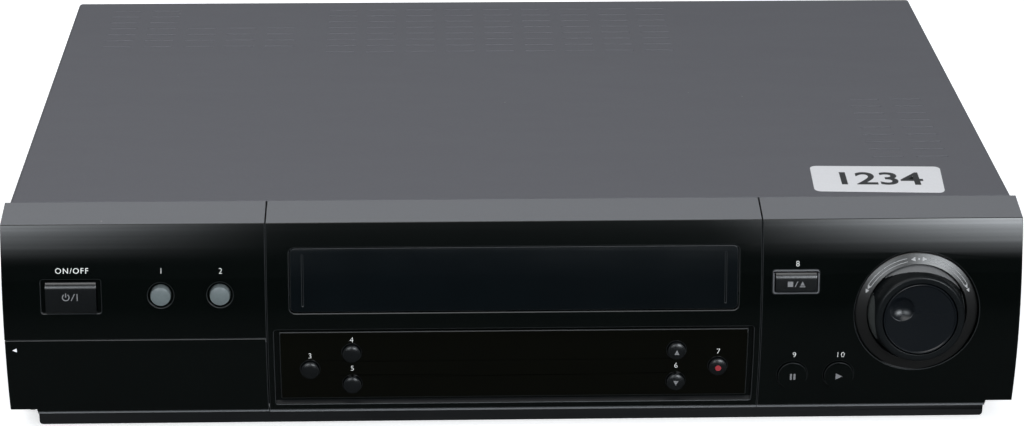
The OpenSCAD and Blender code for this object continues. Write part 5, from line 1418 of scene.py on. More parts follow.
@dataclass
class Buttons:
    """The twelve push buttons.

    Attributes:
        palette: The finishes.
        panel: The front that they sit in.
        stem_end: Where each stem ends.
        proud: How far a round button stands in front of the face.
        flat_proud: How far a flat button does.
        stem_r: Radius of a stem.
        rim_w: Width of the rounding round a round button.
        collar_t: Thickness of the collar that keeps a button in.
        collar_out: How far the collar reaches past the button.
        round_slack: Room between a round button's collar and the wall, beyond the gap round it.
        flat_slack: The same for a flat button.
        curve_h: How far below its top edge a flat button starts to curve back.
        curve_r: Radius of that curve.
        curve_end: How steeply the curve ends, in degrees.
    """

    palette: Palette
    panel: FrontPanel
    stem_end: float = 7.4
    proud: float = 2.2
    flat_proud: float = 1.2
    stem_r: float = 1.8
    rim_w: float = 0.45
    collar_t: float = 1.0
    collar_out: float = 0.9
    round_slack: float = 0.9
    flat_slack: float = 1.6
    curve_h: float = 2.6
    curve_r: float = 4.4
    curve_end: float = 52.0

    def stem(self, x: float, z: float, start: float) -> Mesh:
        """Makes the stem that reaches the switch."""
        return rod(Axis.Y, (x, start, z), self.stem_end - start, self.stem_r, segments=24)

    def round_key(self, name: str, x: float, z: float, r: float, finish: str,
                  dome: float = 0.5) -> None:
        """Builds a round button.

        Args:
            name: Its CAD node.
            x: Distance across from the middle.
            z: Height above the floor.
            r: Its radius.
            finish: Its finish.
            dome: How far its middle stands in front of its rim.
        """
        tip = DRUM.y(z) - self.proud
        collar = DRUM.y(z) + self.panel.wall + self.panel.key_gap + self.round_slack
        rim = self.rim_w
        outline = [(0.0, 0.0)]
        outline += [(r * 0.16 * i, dome * (0.16 * i) ** 2) for i in range(1, 6)]
        outline += [(r - rim, dome * 0.82), (r - 0.35 * rim, dome * 0.82 + 0.22 * rim),
                    (r, dome + rim), (r, collar - tip), (r + self.collar_out, collar - tip),
                    (r + self.collar_out, collar - tip + self.collar_t), (0.0, collar - tip + self.collar_t)]
        place = Matrix.Translation((x, tip, z)) @ Axis.Y.turn()
        key = lathe(outline, Matrix.Identity(4), 64)
        for face in key.faces:
            middle = face.calc_center_median()
            # The front rim of a dark button gets the pale edge finish: a painted highlight ring, not wear.
            rim_painted_highlight = finish != "lens_milk" and math.hypot(middle.x, middle.y) > r - 0.4 * rim
            face.material_index = int(rim_painted_highlight and middle.z < dome + rim)
        key.transform(place)
        finish_piece(name.replace("button", "key"), joined([key, self.stem(x, z, collar)]),
                     [self.palette[finish], self.palette["painted_edge_highlight"]], name, [name], sharp=50.0)

    def flat_key(self, name: str, x: float, z: float, w: float, h: float) -> None:
        """Builds a flat button whose face follows the panel and curves back at its top.

        Args:
            name: Its CAD node.
            x: Distance across from the middle.
            z: Height above the floor.
            w: Its width.
            h: Its height.
        """
        collar = DRUM.y(z) + self.panel.wall + self.panel.key_gap + self.flat_slack
        end = math.radians(self.curve_end)
        start = math.asin((z + h / 2 - self.curve_h - DRUM.mid_z) / DRUM.radius)
        rise = self.curve_r * (math.sin(end) - math.sin(start))
        low = z + h / 2 - rise
        turns = [start + (end - start) * i / 8 for i in range(1, 9)]
        curve = [(DRUM.y(low, -self.flat_proud) + self.curve_r * (math.cos(start) - math.cos(turn)),
                  low + self.curve_r * (math.sin(turn) - math.sin(start))) for turn in turns]
        back_y = collar + self.collar_t
        face = drum_bar(x - w / 2, x + w / 2, -self.flat_proud, z - h / 2, low, back_y, curve, 6)
        face = soften(face, 0.25, 2)
        back = round_bar(x, z, w + 2 * self.collar_out, h + 2 * self.collar_out, 0.6, collar, back_y, 3)
        finish_piece(name.replace("button", "key"), joined([face, back, self.stem(x, z, collar)]),
                     [self.palette["key_satin"]], name, [name])

    def build(self) -> None:
        """Builds every button."""
        panel = self.panel
        self.flat_key("standby_button", *panel.keys["standby"])
        self.flat_key("stop_button", *panel.keys["stop"])
        for name, (x, z) in zip(("tape_button", "picture_button"), panel.lamps):
            self.round_key(name, x, z, panel.lamp_r, "lens_milk", 0.9)
        names = ("speed_button", "display_button", "audio_button", "channel_up_button",
                 "channel_down_button", "record_button")
        for name, (x, z) in zip(names, panel.small):
            self.round_key(name, x, z, panel.small_r, "key_satin", 0.7)
        for name, (x, z) in zip(("pause_button", "play_button"), panel.play):
            self.round_key(name, x, z, panel.play_r, "gloss_black", 0.5)


@dataclass
class Knob:
    """The scale, the spring-back shuttle ring and the jog dial.

    Attributes:
        palette: The finishes.
        panel: The front that the knob sits in.
        scale_r: Outer radius of the scale.
        scale_hole_r: Inner radius of the scale.
        out: How far the knob stands in front of the face.
        scale_low: Height of the scale's face at its outer edge.
        scale_rise: How much the scale's face rises inwards, per millimetre.
        foot_r: Radius of the ring at its foot.
        ring_r: Radius of the ring at its lip.
        dial_r: Radius of the dial.
        dial_t: Thickness of the dial.
        dial_sunk: How far the dial's face lies below its rim.
        shaft_r: Radius of the dial's shaft.
        sleeve_r: Radius of the ring's sleeve.
        dimple_r: Radius of the finger dimple.
        dimple_h: Height of the middle of the ball that hollows the dimple out.
        dimple_out: How far the dimple lies from the axis.
        dimple_turn: Where it lies round the axis, in degrees from +X.
        grip_low: How far the middle of a dotted grip lies below the axis, in degrees.
        grip_half: Half the span of a dotted grip, in degrees.
        lip_h: Least height of the black lip above the pale crescent, which is a painted highlight.
        shine_turn: Where the middle of the painted highlight crescent lies, in degrees from straight up.
        shine_half: Half the span of the painted highlight crescent, in degrees.
        rows: Number of rows of faces up the ring's side.
        arc_r: Radii of the printed arcs.
        arc_w: Width of a printed arc.
        mark_r: Radius at which the arrows are printed.
    """

    palette: Palette
    panel: FrontPanel
    scale_r: float = 26.0
    scale_hole_r: float = 21.6
    scale_low: float = -1.9
    scale_rise: float = 0.42
    foot_r: float = 21.1
    ring_r: float = 19.1
    out: float = 8.8
    dial_r: float = 15.8
    dial_t: float = 3.8
    dial_sunk: float = 0.48
    shaft_r: float = 3.0
    sleeve_r: float = 8.0
    dimple_r: float = 5.3
    dimple_h: float = 4.5
    dimple_out: float = 9.1
    dimple_turn: float = 150.0
    grip_low: float = 6.0
    grip_half: float = 30.0
    lip_h: float = 4.2
    shine_turn: float = 9.0
    shine_half: float = 52.0
    rows: int = 32
    arc_r: tuple[float, ...] = (24.6, 23.3)
    arc_w: float = 0.24
    mark_r: float = 23.9

    @property
    def place(self) -> Matrix:
        """Place of the knob's axis on the face."""
        return DRUM.place(*self.panel.knob)

    def cone(self, radius: float) -> float:
        """Returns the height of the scale's sloping face at a radius."""
        return self.scale_low + (self.scale_r - radius) * self.scale_rise

    def build_scale(self) -> None:
        """Builds the scale ring with its rounded rims."""
        low = -self.panel.well_d
        outer, inner = self.cone(self.scale_r), self.cone(self.scale_hole_r)
        ring = lathe([(self.scale_hole_r, low), (self.scale_r + 0.6, low), (self.scale_r + 0.6, outer - 0.6),
                      (self.scale_r + 0.35, outer - 0.15), (self.scale_r, outer),
                      (self.scale_hole_r + 0.35, inner - 0.2), (self.scale_hole_r + 0.1, inner - 0.25),
                      (self.scale_hole_r, inner - 0.5), (self.scale_hole_r, low)], self.place, 160)
        finish_piece("knob_scale", ring, [self.palette["scale_satin"]], ROOT, ["scale_ring"])

    def build_ring(self) -> None:
        """Builds the shuttle ring: a cone with a rounded lip, a hollow for the dial and a sleeve."""
        foot = -self.panel.well_d + 0.3
        lip = self.out
        bore = self.shaft_r + 0.4
        outline = [(bore, -10.0), (self.sleeve_r, -10.0), (self.sleeve_r, foot), (self.foot_r, foot),
                   (self.foot_r - 0.05, foot + 0.4)]
        outline += [(self.foot_r - 0.05 + (self.ring_r + 0.2 - self.foot_r) * i / self.rows,
                     foot + 0.4 + (lip - 1.4 - foot) * i / self.rows) for i in range(1, self.rows + 1)]
        outline += [(self.ring_r - 0.15, lip - 0.45), (self.ring_r - 0.55, lip - 0.1),
                   (self.ring_r - 1.0, lip), (self.dial_r + 0.6, lip),
                   (self.dial_r + 0.45, lip - 0.1), (self.dial_r + 0.4, lip - 0.4),
                   (self.dial_r + 0.4, foot + 1.6), (bore, foot + 1.6), (bore, -10.0)]
        ring = lathe(outline, Matrix.Identity(4), 160)
        for face in ring.faces:
            face.material_index = self.side_finish(face.calc_center_median())
        ring.transform(self.place)
        finishes = [self.palette[key] for key in ("knob_black", "knob_grip", "knob_painted_highlight")]
        finish_piece("knob_ring", ring, finishes, "shuttle_ring", ["shuttle_ring"])

    def side_finish(self, point: Vector) -> int:
        """Says which finish the ring has at a place.

        Args:
            point: The place, measured from the knob's axis on the face.

        Returns:
            1 in a dotted grip, 2 in the crescent painted pale as a highlight, and 0 elsewhere.
        """
        if math.hypot(point.x, point.y) < self.ring_r - 0.2 or point.z > self.out - 1.3:
            return 0
        turn = (math.degrees(math.atan2(point.x, point.y)) - self.shine_turn) / self.shine_half
        # Side faces in the crescent near the top get the pale finish: a painted highlight.
        plain = 2 if abs(turn) < 1.0 and point.z < self.out - self.lip_h - 6.0 * turn * turn else 0
        if point.z < -2.4:
            return plain
        off = abs(math.degrees(math.atan2(point.y, abs(point.x))) + self.grip_low)
        reach = self.grip_half * math.sqrt(max(0.0, 1.0 - ((point.z + 2.4) / (self.out + 1.1)) ** 2))
        return 1 if off < reach else plain

    def build_dial(self) -> None:
        """Builds the jog dial with its raised rim and finger dimple."""
        low = self.out - self.dial_t
        outline = [(0.0, -14.0), (self.shaft_r, -14.0), (self.shaft_r, low), (self.dial_r, low),
                   (self.dial_r, self.out - 0.55), (self.dial_r - 0.12, self.out - 0.2),
                   (self.dial_r - 0.4, self.out), (self.dial_r - 0.65, self.out - 0.04),
                   (self.dial_r - 1.05, self.out - self.dial_sunk), (0.0, self.out - self.dial_sunk)]
        dial = lathe(outline, Matrix.Identity(4), 160)
        ball = bmesh.new()
        ball_r = math.hypot(self.dimple_r, self.dimple_h)
        at = Matrix.Rotation(math.radians(self.dimple_turn), 4, "Z") @ Matrix.Translation(
            (self.dimple_out, 0, self.out - self.dial_sunk + self.dimple_h))
        bmesh.ops.create_uvsphere(ball, u_segments=64, v_segments=48, radius=ball_r, matrix=at)
        dial = soften(cut(dial, ball), 0.15, 2, 25.0,
                      lambda point: (point - at.translation).length < ball_r + 0.1)
        dial.transform(self.place)
        finish_piece("knob_dial", dial, [self.palette["dial_navy"]], "jog_dial",
                     ["jog_dial"])

    def build_marks(self, printer: Printer) -> None:
        """Prints the double arcs and arrows on the scale.

        Args:
            printer: Prints them.
        """
        marks = []
        for radius in self.arc_r:
            clear = self.arc_w / 2
            for start, end in ((30, 78), (102, 150)):
                marks.append((printer.arc(radius, self.arc_w, start, end),
                              Matrix.Translation((0, 0, self.cone(radius) + clear))))
        lean = Matrix.Rotation(-math.atan(self.scale_rise), 4, "X")
        on_cone = Matrix.Translation((0, self.mark_r, self.cone(self.mark_r) + 0.02)) @ lean
        for angle, kind in ((96, Mark.LEFT), (90, Mark.DOT), (84, Mark.RIGHT)):
            size = 0.8 if kind is Mark.DOT else 1.9
            turn = Matrix.Rotation(math.radians(angle - 90), 4, "Z")
            marks.append((printer.mark(kind, size), turn @ on_cone))
        for side in (-1, 1):
            kind = Mark.LEFT if side < 0 else Mark.RIGHT
            for angle in (62, 66.5):
                turn = Matrix.Rotation(math.radians(-side * angle), 4, "Z")
                marks.append((printer.mark(kind, 1.7), turn @ on_cone))
        printer.put("scale_marks", [(mesh, self.place @ at) for mesh, at in marks], "print_soft")

    def build(self, printer: Printer) -> None:
        """Builds the whole knob.

        Args:
            printer: Prints the scale.
        """
        self.build_scale()
        self.build_ring()
        self.build_dial()
        self.build_marks(printer)


@dataclass
class PanelMarks:
    """Generic marks and plain numbers where the panel has its labels.

    Attributes:
        printer: Prints them.
        panel: The front that they lie on.
        buttons: The buttons that they lie on.
        small_h: Height of the digits.
        face_numbers: Digits on the mouldings and their places (x, z).
        window_numbers: Digits on the window and theirs.
        switch_at: Place of ON/OFF over the power button.
        window_deep: How far the window lies behind the face.
    """

    printer: Printer
    panel: FrontPanel
    buttons: Buttons
    small_h: float = 2.5
    face_numbers: dict[str, tuple[float, float]] = field(default_factory=lambda: {
        "1": (-150.0, 76.6), "2": (-124.9, 76.4), "8": (121.0, 77.5), "9": (120.8, 36.3),
        "10": (140.7, 36.2)})
    window_numbers: dict[str, tuple[float, float]] = field(default_factory=lambda: {
        "3": (-87.7, 37.6), "4": (-69.8, 45.0), "5": (-69.7, 31.4), "6": (69.8, 31.4), "7": (87.9, 38.1)})
    switch_at: tuple[float, float] = (-187.7, 76.9)
    window_deep: float = 0.6

    def digits(self, text: str) -> Mesh:
        """Makes the thin digits of a label."""
        return self.printer.number(text, self.small_h, -0.045, 1.2)

    def on_face(self, x: float, z: float, out: float = 0.0) -> Matrix:
        """Returns a place on the face, standing out by a hair."""
        return DRUM.place(x, z, out + 0.005)

    def on_round_key(self, x: float, z: float) -> Matrix:
        """Returns a place on the front of a round button."""
        tip = DRUM.y(z) - self.buttons.proud
        return Matrix.Translation((x, tip - 0.01, z)) @ Matrix.Rotation(math.radians(90), 4, "X")

    def build(self) -> None:
        """Prints every mark."""
        make = self.printer
        panel = self.panel
        sx, sz = panel.keys["standby"][:2]
        tx, tz = panel.keys["stop"][:2]
        face = [(self.digits(text), self.on_face(*at)) for text, at in self.face_numbers.items()]
        face.append((make.number("ON/OFF", 2.4, 0.0, 1.2), self.on_face(*self.switch_at)))
        make.put("panel_marks", face, "print_grey")
        make.put("window_marks", [(self.digits(text), self.on_face(*at, -self.window_deep))
                                  for text, at in self.window_numbers.items()], "print_grey")
        proud = self.buttons.flat_proud
        make.put("standby_marks", [
            (make.mark(Mark.POWER, 3.6), self.on_face(sx - 2.0, sz + 0.1, proud)),
            (make.mark(Mark.SLASH, 3.0), self.on_face(sx + 1.0, sz + 0.1, proud)),
            (make.mark(Mark.BAR, 3.0), self.on_face(sx + 2.8, sz + 0.1, proud))],
            "print_dim", "standby_button")
        make.put("stop_marks", [
            (make.mark(Mark.STOP, 2.3), self.on_face(tx - 2.6, tz - 0.8, proud)),
            (make.mark(Mark.SLASH, 2.4), self.on_face(tx, tz - 0.8, proud)),
            (make.mark(Mark.UP, 1.8), self.on_face(tx + 2.6, tz - 0.5, proud)),
            (make.flat([(-1.2, -0.2), (1.2, -0.2), (1.2, 0.2), (-1.2, 0.2)]),
             self.on_face(tx + 2.6, tz - 1.9, proud))], "print_dim", "stop_button")
        symbols = (("pause", "pause", Mark.PAUSE, 2.8, panel.play[0]),
                   ("play", "play", Mark.RIGHT, 2.9, panel.play[1]),
                   ("up", "channel_up", Mark.UP, 2.2, panel.small[3]),
                   ("down", "channel_down", Mark.DOWN, 2.2, panel.small[4]),
                   ("record", "record", Mark.DOT, 2.6, panel.small[5]))
        for name, button, kind, size, at in symbols:
            ink = "print_red" if kind is Mark.DOT else "print_dim"
            make.put(f"{name}_marks", [(make.mark(kind, size), self.on_round_key(*at))], ink,
                     f"{button}_button")
        make.put("flap_marks", [(make.mark(Mark.LEFT, 1.9), self.on_face(-213.4, 41.9))], body="av_flap")


# Sockets


@dataclass
class Sockets:
    """The phono sockets, the round video socket and the contacts of the two large sockets.

    Attributes:
        palette: The finishes.
        panel: The front that holds the front sockets.
        barrel: Outer and inner radius of a metal barrel, and its length.
        nose: Radius of the coloured moulding round it, and its length.
        rear: Places (x, z) of the rear phono sockets.
        rear_tip: Where the rear barrels end.
        pin_r: Radius of the hole for a plug's pin.
        board_z: Height of the main board's top.
        large: Places of the two large sockets.
        large_z: Height of their middle.
    """

    palette: Palette
    panel: FrontPanel
    barrel: tuple[float, float, float] = (4.15, 3.45, 8.3)
    nose: tuple[float, float] = (5.4, 3.2)
    pin_r: float = 1.7
    rear: tuple[tuple[float, float], ...] = ((-34.0, 25.6), (-52.0, 25.6))
    rear_tip: float = 296.7
    board_z: float = 13.6
    large: tuple[float, ...] = (16.0, 78.0)
    large_z: float = 23.6

    def tube(self, place: Matrix) -> Mesh:
        """Makes a metal barrel whose tip lies at the place's origin.

        Args:
            place: Where its tip lies, looking out along Z.

        Returns:
            The barrel's mesh.
        """
        outer, inner, length = self.barrel
        return lathe([(inner, 0.2), (inner + 0.2, 0.0), (outer - 0.2, 0.0), (outer, 0.2),
                      (outer, length + 0.4), (inner, length + 0.4), (inner, 0.2)], place, 48)

    def moulding(self, place: Matrix) -> Mesh:
        """Makes the coloured moulding in and behind a barrel.

        Args:
            place: Where the barrel's tip lies.

        Returns:
            The moulding's mesh.
        """
        _, inner, length = self.barrel
        radius, depth = self.nose
        inner -= 0.01
        return lathe([(self.pin_r, 0.8), (inner, 0.8), (inner, length), (radius - 0.3, length),
                      (radius, length + 0.3), (radius, length + depth), (self.pin_r, length + depth),
                      (self.pin_r, 0.8)], place, 48)

    def build_front(self) -> None:
        """Builds the sockets in the recess behind the flap."""
        z = self.panel.socket_z
        tip = self.panel.bay_back - 0.4 - self.barrel[2]
        places = [Matrix.Translation((x, tip, z)) @ Axis.Y.turn() for x in self.panel.sockets]
        finish_piece("front_barrels", joined(self.tube(p) for p in places), [self.palette["nickel"]],
                     ROOT, ["front_sockets"])
        for colour, place in zip(("yellow", "white", "red"), places):
            finish = self.palette["socket_" + colour]
            finish_piece("front_socket_" + colour, self.moulding(place), [finish])
        x = self.panel.din_x
        start = self.panel.bay_back - 1.5
        shell = lathe([(4.5, 0.3), (4.8, 0.0), (5.2, 0.0), (5.5, 0.3), (5.5, 8.0), (4.5, 8.0), (4.5, 0.3)],
                      Matrix.Translation((x, start, z)) @ Axis.Y.turn(), 48)
        disc = rod(Axis.Y, (x, start + 2.2, z), 5.6, 4.49)
        holes = [rod(Axis.Y, (x + a, start + 1.5, z + b), 3.0, 0.75, segments=16)
                 for a, b in ((-2.9, 0.4), (2.9, 0.4), (-1.7, 2.7), (1.7, 2.7))]
        holes.append(block(x - 1.4, x + 1.4, start + 1.5, start + 4.5, z - 3.4, z - 1.9))
        feet = [block(at - 5.4, at + 5.4, 17.5, 25.2, z - 6, z + 6) for at in self.panel.sockets]
        feet.append(block(x - 7, x + 7, 17.5, 25.2, z - 7, z + 7))
        finish_piece("front_socket_round", joined([shell, cut(disc, joined(holes)), *feet]),
                     [self.palette["black_moulding"]])

    def build_rear(self) -> None:
        """Builds the phono sockets in the rear panel and their feet on the board."""
        turn = Matrix.Rotation(math.radians(90), 4, "X")
        places = [Matrix.Translation((x, self.rear_tip, z)) @ turn for x, z in self.rear]
        finish_piece("rear_barrels", joined(self.tube(p) for p in places), [self.palette["nickel"]],
                     ROOT, ["rear_phono_sockets"])
        for colour, place in zip(("red", "white"), places):
            finish = self.palette["socket_" + colour]
            finish_piece("rear_socket_" + colour, self.moulding(place), [finish])
        feet = [block(x - 6, x + 6, 274.6, 286.3, self.board_z, z + 7) for x, z in self.rear]
        finish_piece("rear_socket_feet", joined(feet), [self.palette["black_moulding"]])

    def build_contacts(self) -> None:
        """Builds the two rows of contacts in each large socket."""
        strips = []
        for x in self.large:
            for side in (1, -1):
                for i in range(10):
                    at = x + (i - 4.5) * 3.8 + side * 0.95
                    z = self.large_z + side * 1.35
                    strips.append(block(at - 0.8, at + 0.8, 277.2, 284.6, z - 0.15, z + 0.15))
        finish_piece("large_contacts", joined(strips), [self.palette["nickel"]])

    def build(self) -> None:
        """Builds every socket."""
        self.build_front()
        self.build_rear()
        self.build_contacts()


# Case


@dataclass
class Case:
    """The sheet steel cover with its vents, the plinth, the feet and the screws.

    Attributes:
        palette: The finishes.
        printer: Prints the digits on the paper label.
        half: Half the width of the cover.
        front: Where the cover starts.
        back: Where it ends.
        top: Height of its top.
        low: Height of its lower edges.
        sheet: Thickness of the steel.
        bend: Outer bend radius.
        vent: Width and depth of a vent slot.
        vent_x: Middle of the outermost column of slots.
        plinth_half: Half the width of the skirt.
        plinth_y: Front and back of the skirt.
        plinth_z: Bottom and top of the skirt.
        bracket_x: How far its outer and inner brackets stand from the middle.
        side_screws: Places (y, z) of the screws in each side.
        rear_screws: Places (x, z) of the screws behind.
        foot_x: How far the feet stand from the middle.
        foot_y: Where the front and rear feet stand.
        label: Corners (x, y) of the paper label.
        label_t: Its thickness.
        label_r: Radius of its corners.
        digits_at: Middle of its digits.
        digit_h: Their height.
        digit_lean: How far they are turned, in degrees.
    """

    palette: Palette
    printer: Printer
    half: float = 215.7
    front: float = 17.5
    back: float = 289.0
    top: float = 99.3
    low: float = 5.3
    sheet: float = 0.8
    bend: float = 2.0
    vent: tuple[float, float] = (14.5, 1.0)
    vent_x: float = 189.3
    plinth_half: float = 205.8
    plinth_y: tuple[float, float] = (-3.0, -0.5)
    plinth_z: tuple[float, float] = (3.3, 9.2)
    bracket_x: tuple[float, float] = (185.8, 68.6)
    side_screws: tuple[tuple[float, float], ...] = ((70.0, 9.6), (239.0, 9.6))
    rear_screws: tuple[tuple[float, float], ...] = ((-196.0, 82.0), (0.0, 82.0), (196.0, 82.0))
    foot_x: float = 179.5
    foot_y: tuple[float, float] = (42.0, 257.0)
    label: tuple[tuple[float, float], ...] = ((131.0, 23.2), (187.4, 20.3), (190.2, 51.0), (132.6, 53.0))
    label_t: float = 0.12
    label_r: float = 3.0
    digits_at: tuple[float, float] = (160.5, 36.5)
    digit_h: float = 14.0
    digit_lean: float = -2.0

    def vent_places(self) -> list[tuple[float, float]]:
        """Returns the middle of each vent slot's front edge.

        Returns:
            Places (x, y).
        """
        last, row, column = self.back - 13.0, 9.3, 20.0
        places = [(-self.vent_x + c * column, last - r * row) for c in (0, 1) for r in range(7)]
        places += [(-self.vent_x + c * column, last - r * row) for c in (2, 3, 4) for r in range(3, 7)]
        places += [(c * 19.7, last - r * row) for c in range(-4, 5) for r in range(8)]
        side_row = self.back - 151.0
        places += [(self.vent_x - c * column, side_row - r * row) for c in (0, 1) for r in range(9)]
        return places

    def bent_bar(self, half: float, top: float, low: float, bend: float, y0: float,
                 y1: float) -> Mesh:
        """Makes a bar along Y with two rounded upper edges.

        Args:
            half: Half its width.
            top: Height of its top.
            low: Height of its bottom.
            bend: Radius of the two edges.
            y0: Its front end.
            y1: Its back end.

        Returns:
            The bar's mesh.
        """
        bar = block(-half, half, y0, y1, low, top)
        upper = [e for e in edges_along(bar, 1, 1.0) if all(abs(v.co.z - top) < 1e-3 for v in e.verts)]
        rounded(bar, upper, bend, 8)
        return bar

    def build_cover(self) -> None:
        """Builds the cover with every vent slot cut through it."""
        outer = self.bent_bar(self.half, self.top, self.low, self.bend, self.front, self.back)
        inner = self.bent_bar(self.half - self.sheet, self.top - self.sheet, self.low - 2,
                              self.bend - self.sheet, self.front - 2, self.back + 2)
        slots = []
        width, depth = self.vent
        for x, y in self.vent_places():
            slot = block(x - width / 2, x + width / 2, y, y + depth, self.top - 2 * self.sheet, self.top + 1)
            rounded(slot, edges_along(slot, 2, 1.0), 0.4 * depth, 3)
            slots.append(slot)
        holes = [rod(Axis.X, (s * self.half - 3, y, z), 6.0, 1.8, segments=24)
                 for y, z in self.side_screws for s in (-1, 1)]
        cover = cut(outer, inner, joined(slots), joined(holes))
        soften(cover, 0.18, 2)
        finish_piece("cover_shell", cover, [self.palette["cover_enamel"]], ROOT,
                     ["top_cover"])

    def build_screws(self) -> None:
        """Builds the pan-head screws with their cross recesses."""
        heads = []
        for y, z in self.side_screws:
            for side in (-1, 1):
                turn = Matrix.Rotation(math.radians(90 * side), 4, "Y")
                heads.append(self.screw(Matrix.Translation((side * self.half, y, z)) @ turn))
        for x, z in self.rear_screws:
            turn = Matrix.Rotation(math.radians(-90), 4, "X")
            heads.append(self.screw(Matrix.Translation((x, self.back - 1.0, z)) @ turn))
        finish_piece("case_screws", joined(heads), [self.palette["screw_black"]], ROOT,
                     ["cover_screws"])

    def screw(self, place: Matrix) -> Mesh:
        """Makes one screw whose head stands on its own plane z = 0.

        Args:
            place: Where the head stands.

        Returns:
            The screw's mesh.
        """
        outline = [(0.0, -5.0), (1.5, -5.0), (1.5, 0.0), (3.6, 0.0), (3.6, 0.5), (3.3, 1.1), (2.6, 1.5),
                   (1.6, 1.6), (0.0, 1.6)]
        head = lathe(outline, Matrix.Identity(4), 40)
        cross = [block(-2.0, 2.0, -0.35, 0.35, 0.6, 3.0), block(-0.35, 0.35, -2.0, 2.0, 0.6, 3.0)]
        head = cut(head, *cross)
        head.transform(place)
        return head

    def build_feet(self) -> None:
        """Builds the four rubber feet."""
        feet = []
        outline = [(0.0, 0.4), (6.5, 0.4), (6.8, 0.0), (10.0, 0.0), (10.5, 0.3), (11.0, 1.0), (11.0, 3.3),
                   (0.0, 3.3)]
        for x in (-self.foot_x, self.foot_x):
            for y in self.foot_y:
                feet.append(lathe(outline, Matrix.Translation((x, y, 0)), 48))
        finish_piece("rubber_feet", joined(feet), [self.palette["foot_rubber"]], ROOT,
                     ["feet"])

    def build_plinth(self) -> None:
        """Builds the skirt under the panel and the four brackets that hold it."""
        low, high = self.plinth_z
        front, back = self.plinth_y
        skirt = round_bar(0, (low + high) / 2, 2 * self.plinth_half, high - low, 1.6, front, back, 5)
        upper = block(-self.plinth_half, self.plinth_half, front, back, (low + high) / 2, high)
        skirt = soften(fused(skirt, upper), 0.5, 3, where=lambda point: point.y < front + 0.5)
        brackets = []
        for x in (-self.bracket_x[0], -self.bracket_x[1], self.bracket_x[1], self.bracket_x[0]):
            arm = block(x - 5, x + 5, back + 0.3, 16.0, low, high)
            brackets.append(soften(fused(arm, block(x - 5, x + 5, 6.0, 16.0, high - 3, high + 1.2)), 0.2))
        finish_piece("plinth_skirt", joined([skirt, *brackets]), [self.palette["plinth_black"]],
                     ROOT, ["plinth"])

    def build_label(self) -> None:
        """Lays the white paper label with plain digits on the cover."""
        plate = bmesh.new()
        plate.faces.new([plate.verts.new((x, y, self.top)) for x, y in self.label])
        thickened(plate, (0, 0, self.label_t))
        rounded(plate, edges_along(plate, 2, self.label_t / 2), self.label_r, 5)
        finish_piece("paper_label", plate, [self.palette["label_paper"]])
        digits = self.printer.number("1234", self.digit_h, 0.35)
        lean = Matrix.Rotation(math.radians(self.digit_lean), 4, "Z")
        place = Matrix.Translation((*self.digits_at, self.top + self.label_t)) @ lean
        self.printer.put("label_digits", [(digits, place)], "label_ink", slot="cover_paint")

    def build(self) -> None:
        """Builds the whole case."""
        self.build_cover()
        self.build_screws()
        self.build_feet()
        self.build_plinth()
        self.build_label()


@dataclass
class Carried:
    """Gives the CAD nodes that stay their materials.

    Attributes:
        palette: The finishes.
        nodes_of: The nodes that have each finish.
    """

    palette: Palette
    nodes_of: dict[str, tuple[str, ...]] = field(default_factory=lambda: {
        "zinc_plate": ("base_pan", "chassis_posts", "transformer", "tuner_can", "deck_plate", "pinch_arm",
                       "carriage_frame", "cassette_basket"),
        "rear_paint": ("rear_panel",),
        "grey_parts": ("knob_encoder", "board_parts"),
        "board_green": ("front_board", "main_board"),
        "board_brown": ("power_board",),
        "black_moulding": ("key_switches", "mains_inlet", "scart_sockets", "loading_motor",
                           "carriage_slider"),
        "tube_glass": ("display_tube",),
        "turned_aluminium": ("lower_drum", "upper_drum"),
        "ground_steel": ("capstan", "fixed_heads"),
        "black_rubber": ("pinch_roller", "idler_wheel"),
        "white_acetal": ("supply_reel", "takeup_reel", "idler_arm", "left_guide", "right_guide",
                         "motor_pinion", "cam_gear")})

    def build(self, nodes: dict[str, bpy.types.Object]) -> None:
        """Assigns each material.

        Args:
            nodes: The CAD nodes by name.
        """
        for finish, names in self.nodes_of.items():
            for name in names:
                data = nodes[name].data
                data.materials.clear()
                data.materials.append(self.palette[finish])
                LOG.info("%s: %s", name, finish)


# Studio


